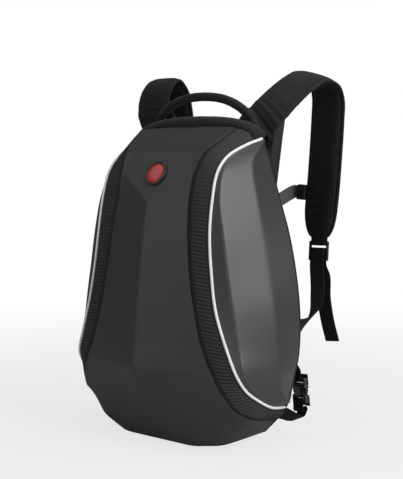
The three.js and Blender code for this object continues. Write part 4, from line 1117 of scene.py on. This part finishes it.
def turned(name, place, profile, sides=72):
    """Each profile point's radius runs round a circle at its height."""
    profile = np.asarray(profile, float)
    angle = 2 * np.pi * np.arange(sides) / sides
    grid = np.stack([profile[:, :1] * np.cos(angle), profile[:, :1] * np.sin(angle),
                     np.broadcast_to(profile[:, 1:], (len(profile), sides))], -1)
    return surface(name, placed(grid, place), tube=True)


rubber = Finish("red enamel")
cloud = rubber.noise(0.4, detail=3.0)
rubber.done(Base_Color=rubber.blend(cloud, (0.42, 0.012, 0.01), (0.5, 0.018, 0.014)),
            Roughness=cloud * 0.1 + 0.3, Coat_Weight=0.2,
            Normal=rubber.relief(rubber.noise(1.5), 0.00005, 0.4))
BADGE_RADIUS, BADGE_RISE, DOME = 15 * MM, 2 * MM, 1.2 * MM
r = np.linspace(0, 1, 20)[::-1]
dome = np.stack([BADGE_RADIUS * r, BADGE_RISE + DOME * np.sqrt(1 - (0.98 * r) ** 2) - DOME * 0.2], -1)
dome[-1, 0] = 0.02 * MM
badge = turned("badge_enamel", badge_place, np.concatenate([[[0.02 * MM, 0], [BADGE_RADIUS, 0]], dome]))
dress(badge, rubber.material, "badge", "badge")
ring_angle = np.linspace(0, 2 * np.pi, 33)
bezel_profile = np.stack([BADGE_RADIUS + 0.3 * MM + 1.75 * MM * (1 + np.cos(ring_angle)),
                          1.5 * MM + 1.6 * MM * np.sin(ring_angle)], -1)
bezel_profile[:, 1] = np.maximum(bezel_profile[:, 1], 0)
bezel = turned("bezel_ring", badge_place, bezel_profile)
dress(bezel, hard_plastic.material, "fittings", "badge_bezel")

# %% [markdown]
# ## The back
# The wearer's side is a flat cloth with a bound rim. The rim follows the seam line all the way round, and
# a padded panel of air mesh lies inside it. The pad is a closed form: a crowned rear face, cut by sewn
# channels that let air through, and a flat front face against the cloth.

# %% Outline of the back
top_line = body_points([[0, 0, .991], [.34, 0, .987], [.54, 0, .971]])
seam_half = curve_through(body_points(np.stack([SECTIONS[:, 16], nothing, SECTIONS[:, 17]], -1)), 61)
foot_half = np.stack([piping_line[-1], edge_line[-1], belly_line[-1], fold_line[-1], ridge_line[-1]])
right_half = np.concatenate([top_line, seam_half, foot_half])
right_half[:, 1] = 0
step = np.linalg.norm(np.diff(right_half, axis=0), axis=1)
right_run = np.concatenate([[0], np.cumsum(step)])
even = np.linspace(0, right_run[-1], 321)
right_even = np.stack([np.interp(even, right_run, right_half[:, k]) for k in range(3)], -1)
rim_path = np.concatenate([right_even, mirrored(right_even)[-2:0:-1]])
print("rim is", round(2 * right_run[-1] / MM), "mm round")


# %% Binding and back cloth
def inset(loop, distance):
    """A closed loop moved inwards: each point along the cross of the y axis and its direction."""
    ahead = unit(np.roll(loop, -1, 0) - np.roll(loop, 1, 0))
    return loop + distance * np.cross([0, 1, 0], ahead)


LAP = 14 * MM
rim_angle = np.linspace(-np.pi / 2, np.pi / 2, 9)
rim_offsets = np.concatenate([[LAP], 2.2 * MM - 2.2 * MM * np.cos(rim_angle), [LAP]])
rim_depths = np.concatenate([[55.6 * MM], 57.5 * MM + 2.3 * MM * np.sin(rim_angle), [59.4 * MM]])
rim_rings = np.stack([inset(rim_path, d) + [0, y, 0] for d, y in zip(rim_offsets, rim_depths)], 1)
rim_rings = np.concatenate([rim_rings, rim_rings[:1]])
tape_finish = nylon("binding tape", 0.013, thread=0.7)
rim = surface("rear_rim", rim_rings, tube=True, caps=False)
dress(rim, tape_finish, "band", "rear_binding")

# %% [markdown]
# The cloth inside the rim is one flat sheet. Its grid runs from the left edge to the right edge of the
# outline at each height.

# %% Back cloth and pad
def half_width_at(heights, loop):
    """The outline's half width at each height, read off its right side."""
    order = np.argsort(loop[:, 2])
    return np.interp(heights, loop[order, 2], loop[order, 0])


CLOTH_INSET, CLOTH_TOP, CLOTH_Y, RIGHT_SIDE = 10 * MM, 437 * MM, 58.6 * MM, slice(6, 316)
right_side = inset(rim_path, CLOTH_INSET)[RIGHT_SIDE]
cloth_heights = np.linspace(right_side[:, 2].min() + 1 * MM, CLOTH_TOP, 90)
cloth_half = half_width_at(cloth_heights, right_side)
cloth_x = cloth_half[:, None] * np.linspace(-1, 1, 60)
cloth_grid = np.stack([cloth_x, np.full(cloth_x.shape, CLOTH_Y),
                       np.broadcast_to(cloth_heights[:, None], cloth_x.shape)], -1)
back_cloth = surface("back_cloth", cloth_grid, flip=False)
thickened(back_cloth, CLOTH_WALL, 0)
dress(back_cloth, black_cloth, "cloth")

PAD_FRONT, PAD_DEPTH, PAD_TOP, PAD_INSET = (v * MM for v in (60.3, 12, 407.8, 15))
pad_side = inset(rim_path, PAD_INSET)[RIGHT_SIDE]
pad_heights = np.linspace(pad_side[:, 2].min() + 2 * MM, PAD_TOP, 200)
pad_half = half_width_at(pad_heights, pad_side)
pad_spread = np.linspace(-1, 1, 161)
pad_x = pad_half[:, None] * pad_spread
pad_z = np.broadcast_to(pad_heights[:, None], pad_x.shape)


def channel(distance, half_width):
    """1 in the middle of a sewn channel, falling to 0 at its half width."""
    return np.exp(-(distance / half_width) ** 2 * 2)


to_side = pad_half[:, None] - np.abs(pad_x)
to_ends = np.minimum(pad_z - pad_heights[0], PAD_TOP - pad_z)
rounded = np.sqrt(np.clip(1 - (1 - np.clip(np.minimum(to_side, to_ends) / (14 * MM), 0, 1)) ** 2, 0, 1))
sewn = np.maximum.reduce([channel(pad_x, 9 * MM), channel(pad_z - 150 * MM - 0.12 * np.abs(pad_x), 7 * MM),
                          channel(pad_z - 285 * MM + 0.12 * np.abs(pad_x), 7 * MM)])
puff = rounded * (1 - 0.62 * sewn)
pad_rear = np.stack([pad_x, PAD_FRONT + 0.4 * MM + (PAD_DEPTH - 0.5 * MM) * puff, pad_z], -1)
pad_flat = np.stack([pad_x, np.full(pad_x.shape, PAD_FRONT), pad_z], -1)
pad_ring = np.concatenate([pad_rear, pad_flat[:, ::-1]], axis=1)
air_mesh = Finish("air mesh")
pores = air_mesh.node("TexVoronoi", {"feature": "F1"}, {"Vector": air_mesh.place(), "Scale": 0.32,
                                                        "Randomness": 0.35}, "Distance")
open_pore = 1 - pores.within(0.15, 0.42)
slow = air_mesh.noise(0.03)
# Painted shade: the open pores get a darker grey than the mesh round them.
air_mesh.done(Base_Color=air_mesh.blend(open_pore, grey(0.02), grey(0.004)), Roughness=slow * 0.1 + 0.75,
              Specular_IOR_Level=0.3, Sheen_Weight=0.2, Normal=air_mesh.relief(open_pore * -1, 0.0006, 0.7))
pad = surface("back_pad", pad_ring, tube=True)
dress(pad, air_mesh.material, "padding", "back_panel")

# %% [markdown]
# ## Strap wings
# A small cloth gusset joins the root of each strap to the rim, so that the strap can't twist there. It is
# a ruled sheet: straight lines from points on the seam to points on the strap's edge, with a slight sag.

# %% Build the wings
WING_STATIONS, WING_SEAM_ROWS, WING_WALL, WING_TAPER = slice(30, 61), (30, 70), 1.4 * MM, 1.6
wing_cloth = nylon("wing nylon", 0.022)
for hand, sign in (("right", 1), ("left", -1)):
    path = strap_paths[hand][WING_STATIONS]
    side = travelling_frame(path, strap_side(hand, STRAP_STATIONS)[WING_STATIONS])[0]
    half_width = STRAP_HALF_WIDTH * strap_width_share(STRAP_STATIONS)[WING_STATIONS, None]
    top = path + side * sign * (half_width - 1 * MM)
    foot = seam_line[np.linspace(*WING_SEAM_ROWS, len(path)).astype(int)]
    foot[:, 0] = sign * np.maximum(foot[:, 0] - 2.5 * MM, sign * top[0, 0])
    foot[:, 1] = BINDING_END + CLEARANCE + 1 * MM
    t = np.linspace(0, 1, 18)[:, None]
    wing_grid = foot[:, None] * (1 - t) + top[:, None] * t
    wing_grid[..., 1] += 2 * MM * np.sin(np.pi * t[..., 0]) * creases(np.arange(len(path))[:, None], 19, 4)
    wing = surface(f"wing_{hand}", wing_grid, flip=False)
    thickened(wing, WING_WALL, 0)
    dress(wing, wing_cloth, "cloth", f"strap_wing_{hand}")
    u_step = np.diff(wing_grid, axis=1)[:-1]
    v_step = np.diff(wing_grid, axis=0)[:, :-1]
    cut_area = float(np.linalg.norm(np.cross(u_step, v_step), axis=-1).sum())
    widest = float(np.linalg.norm(top[-1] - foot[-1]))
    WING_TAPER * cut_area / widest
    print(f"wing_{hand} cut: {cut_area * 1e6:.0f} square mm")
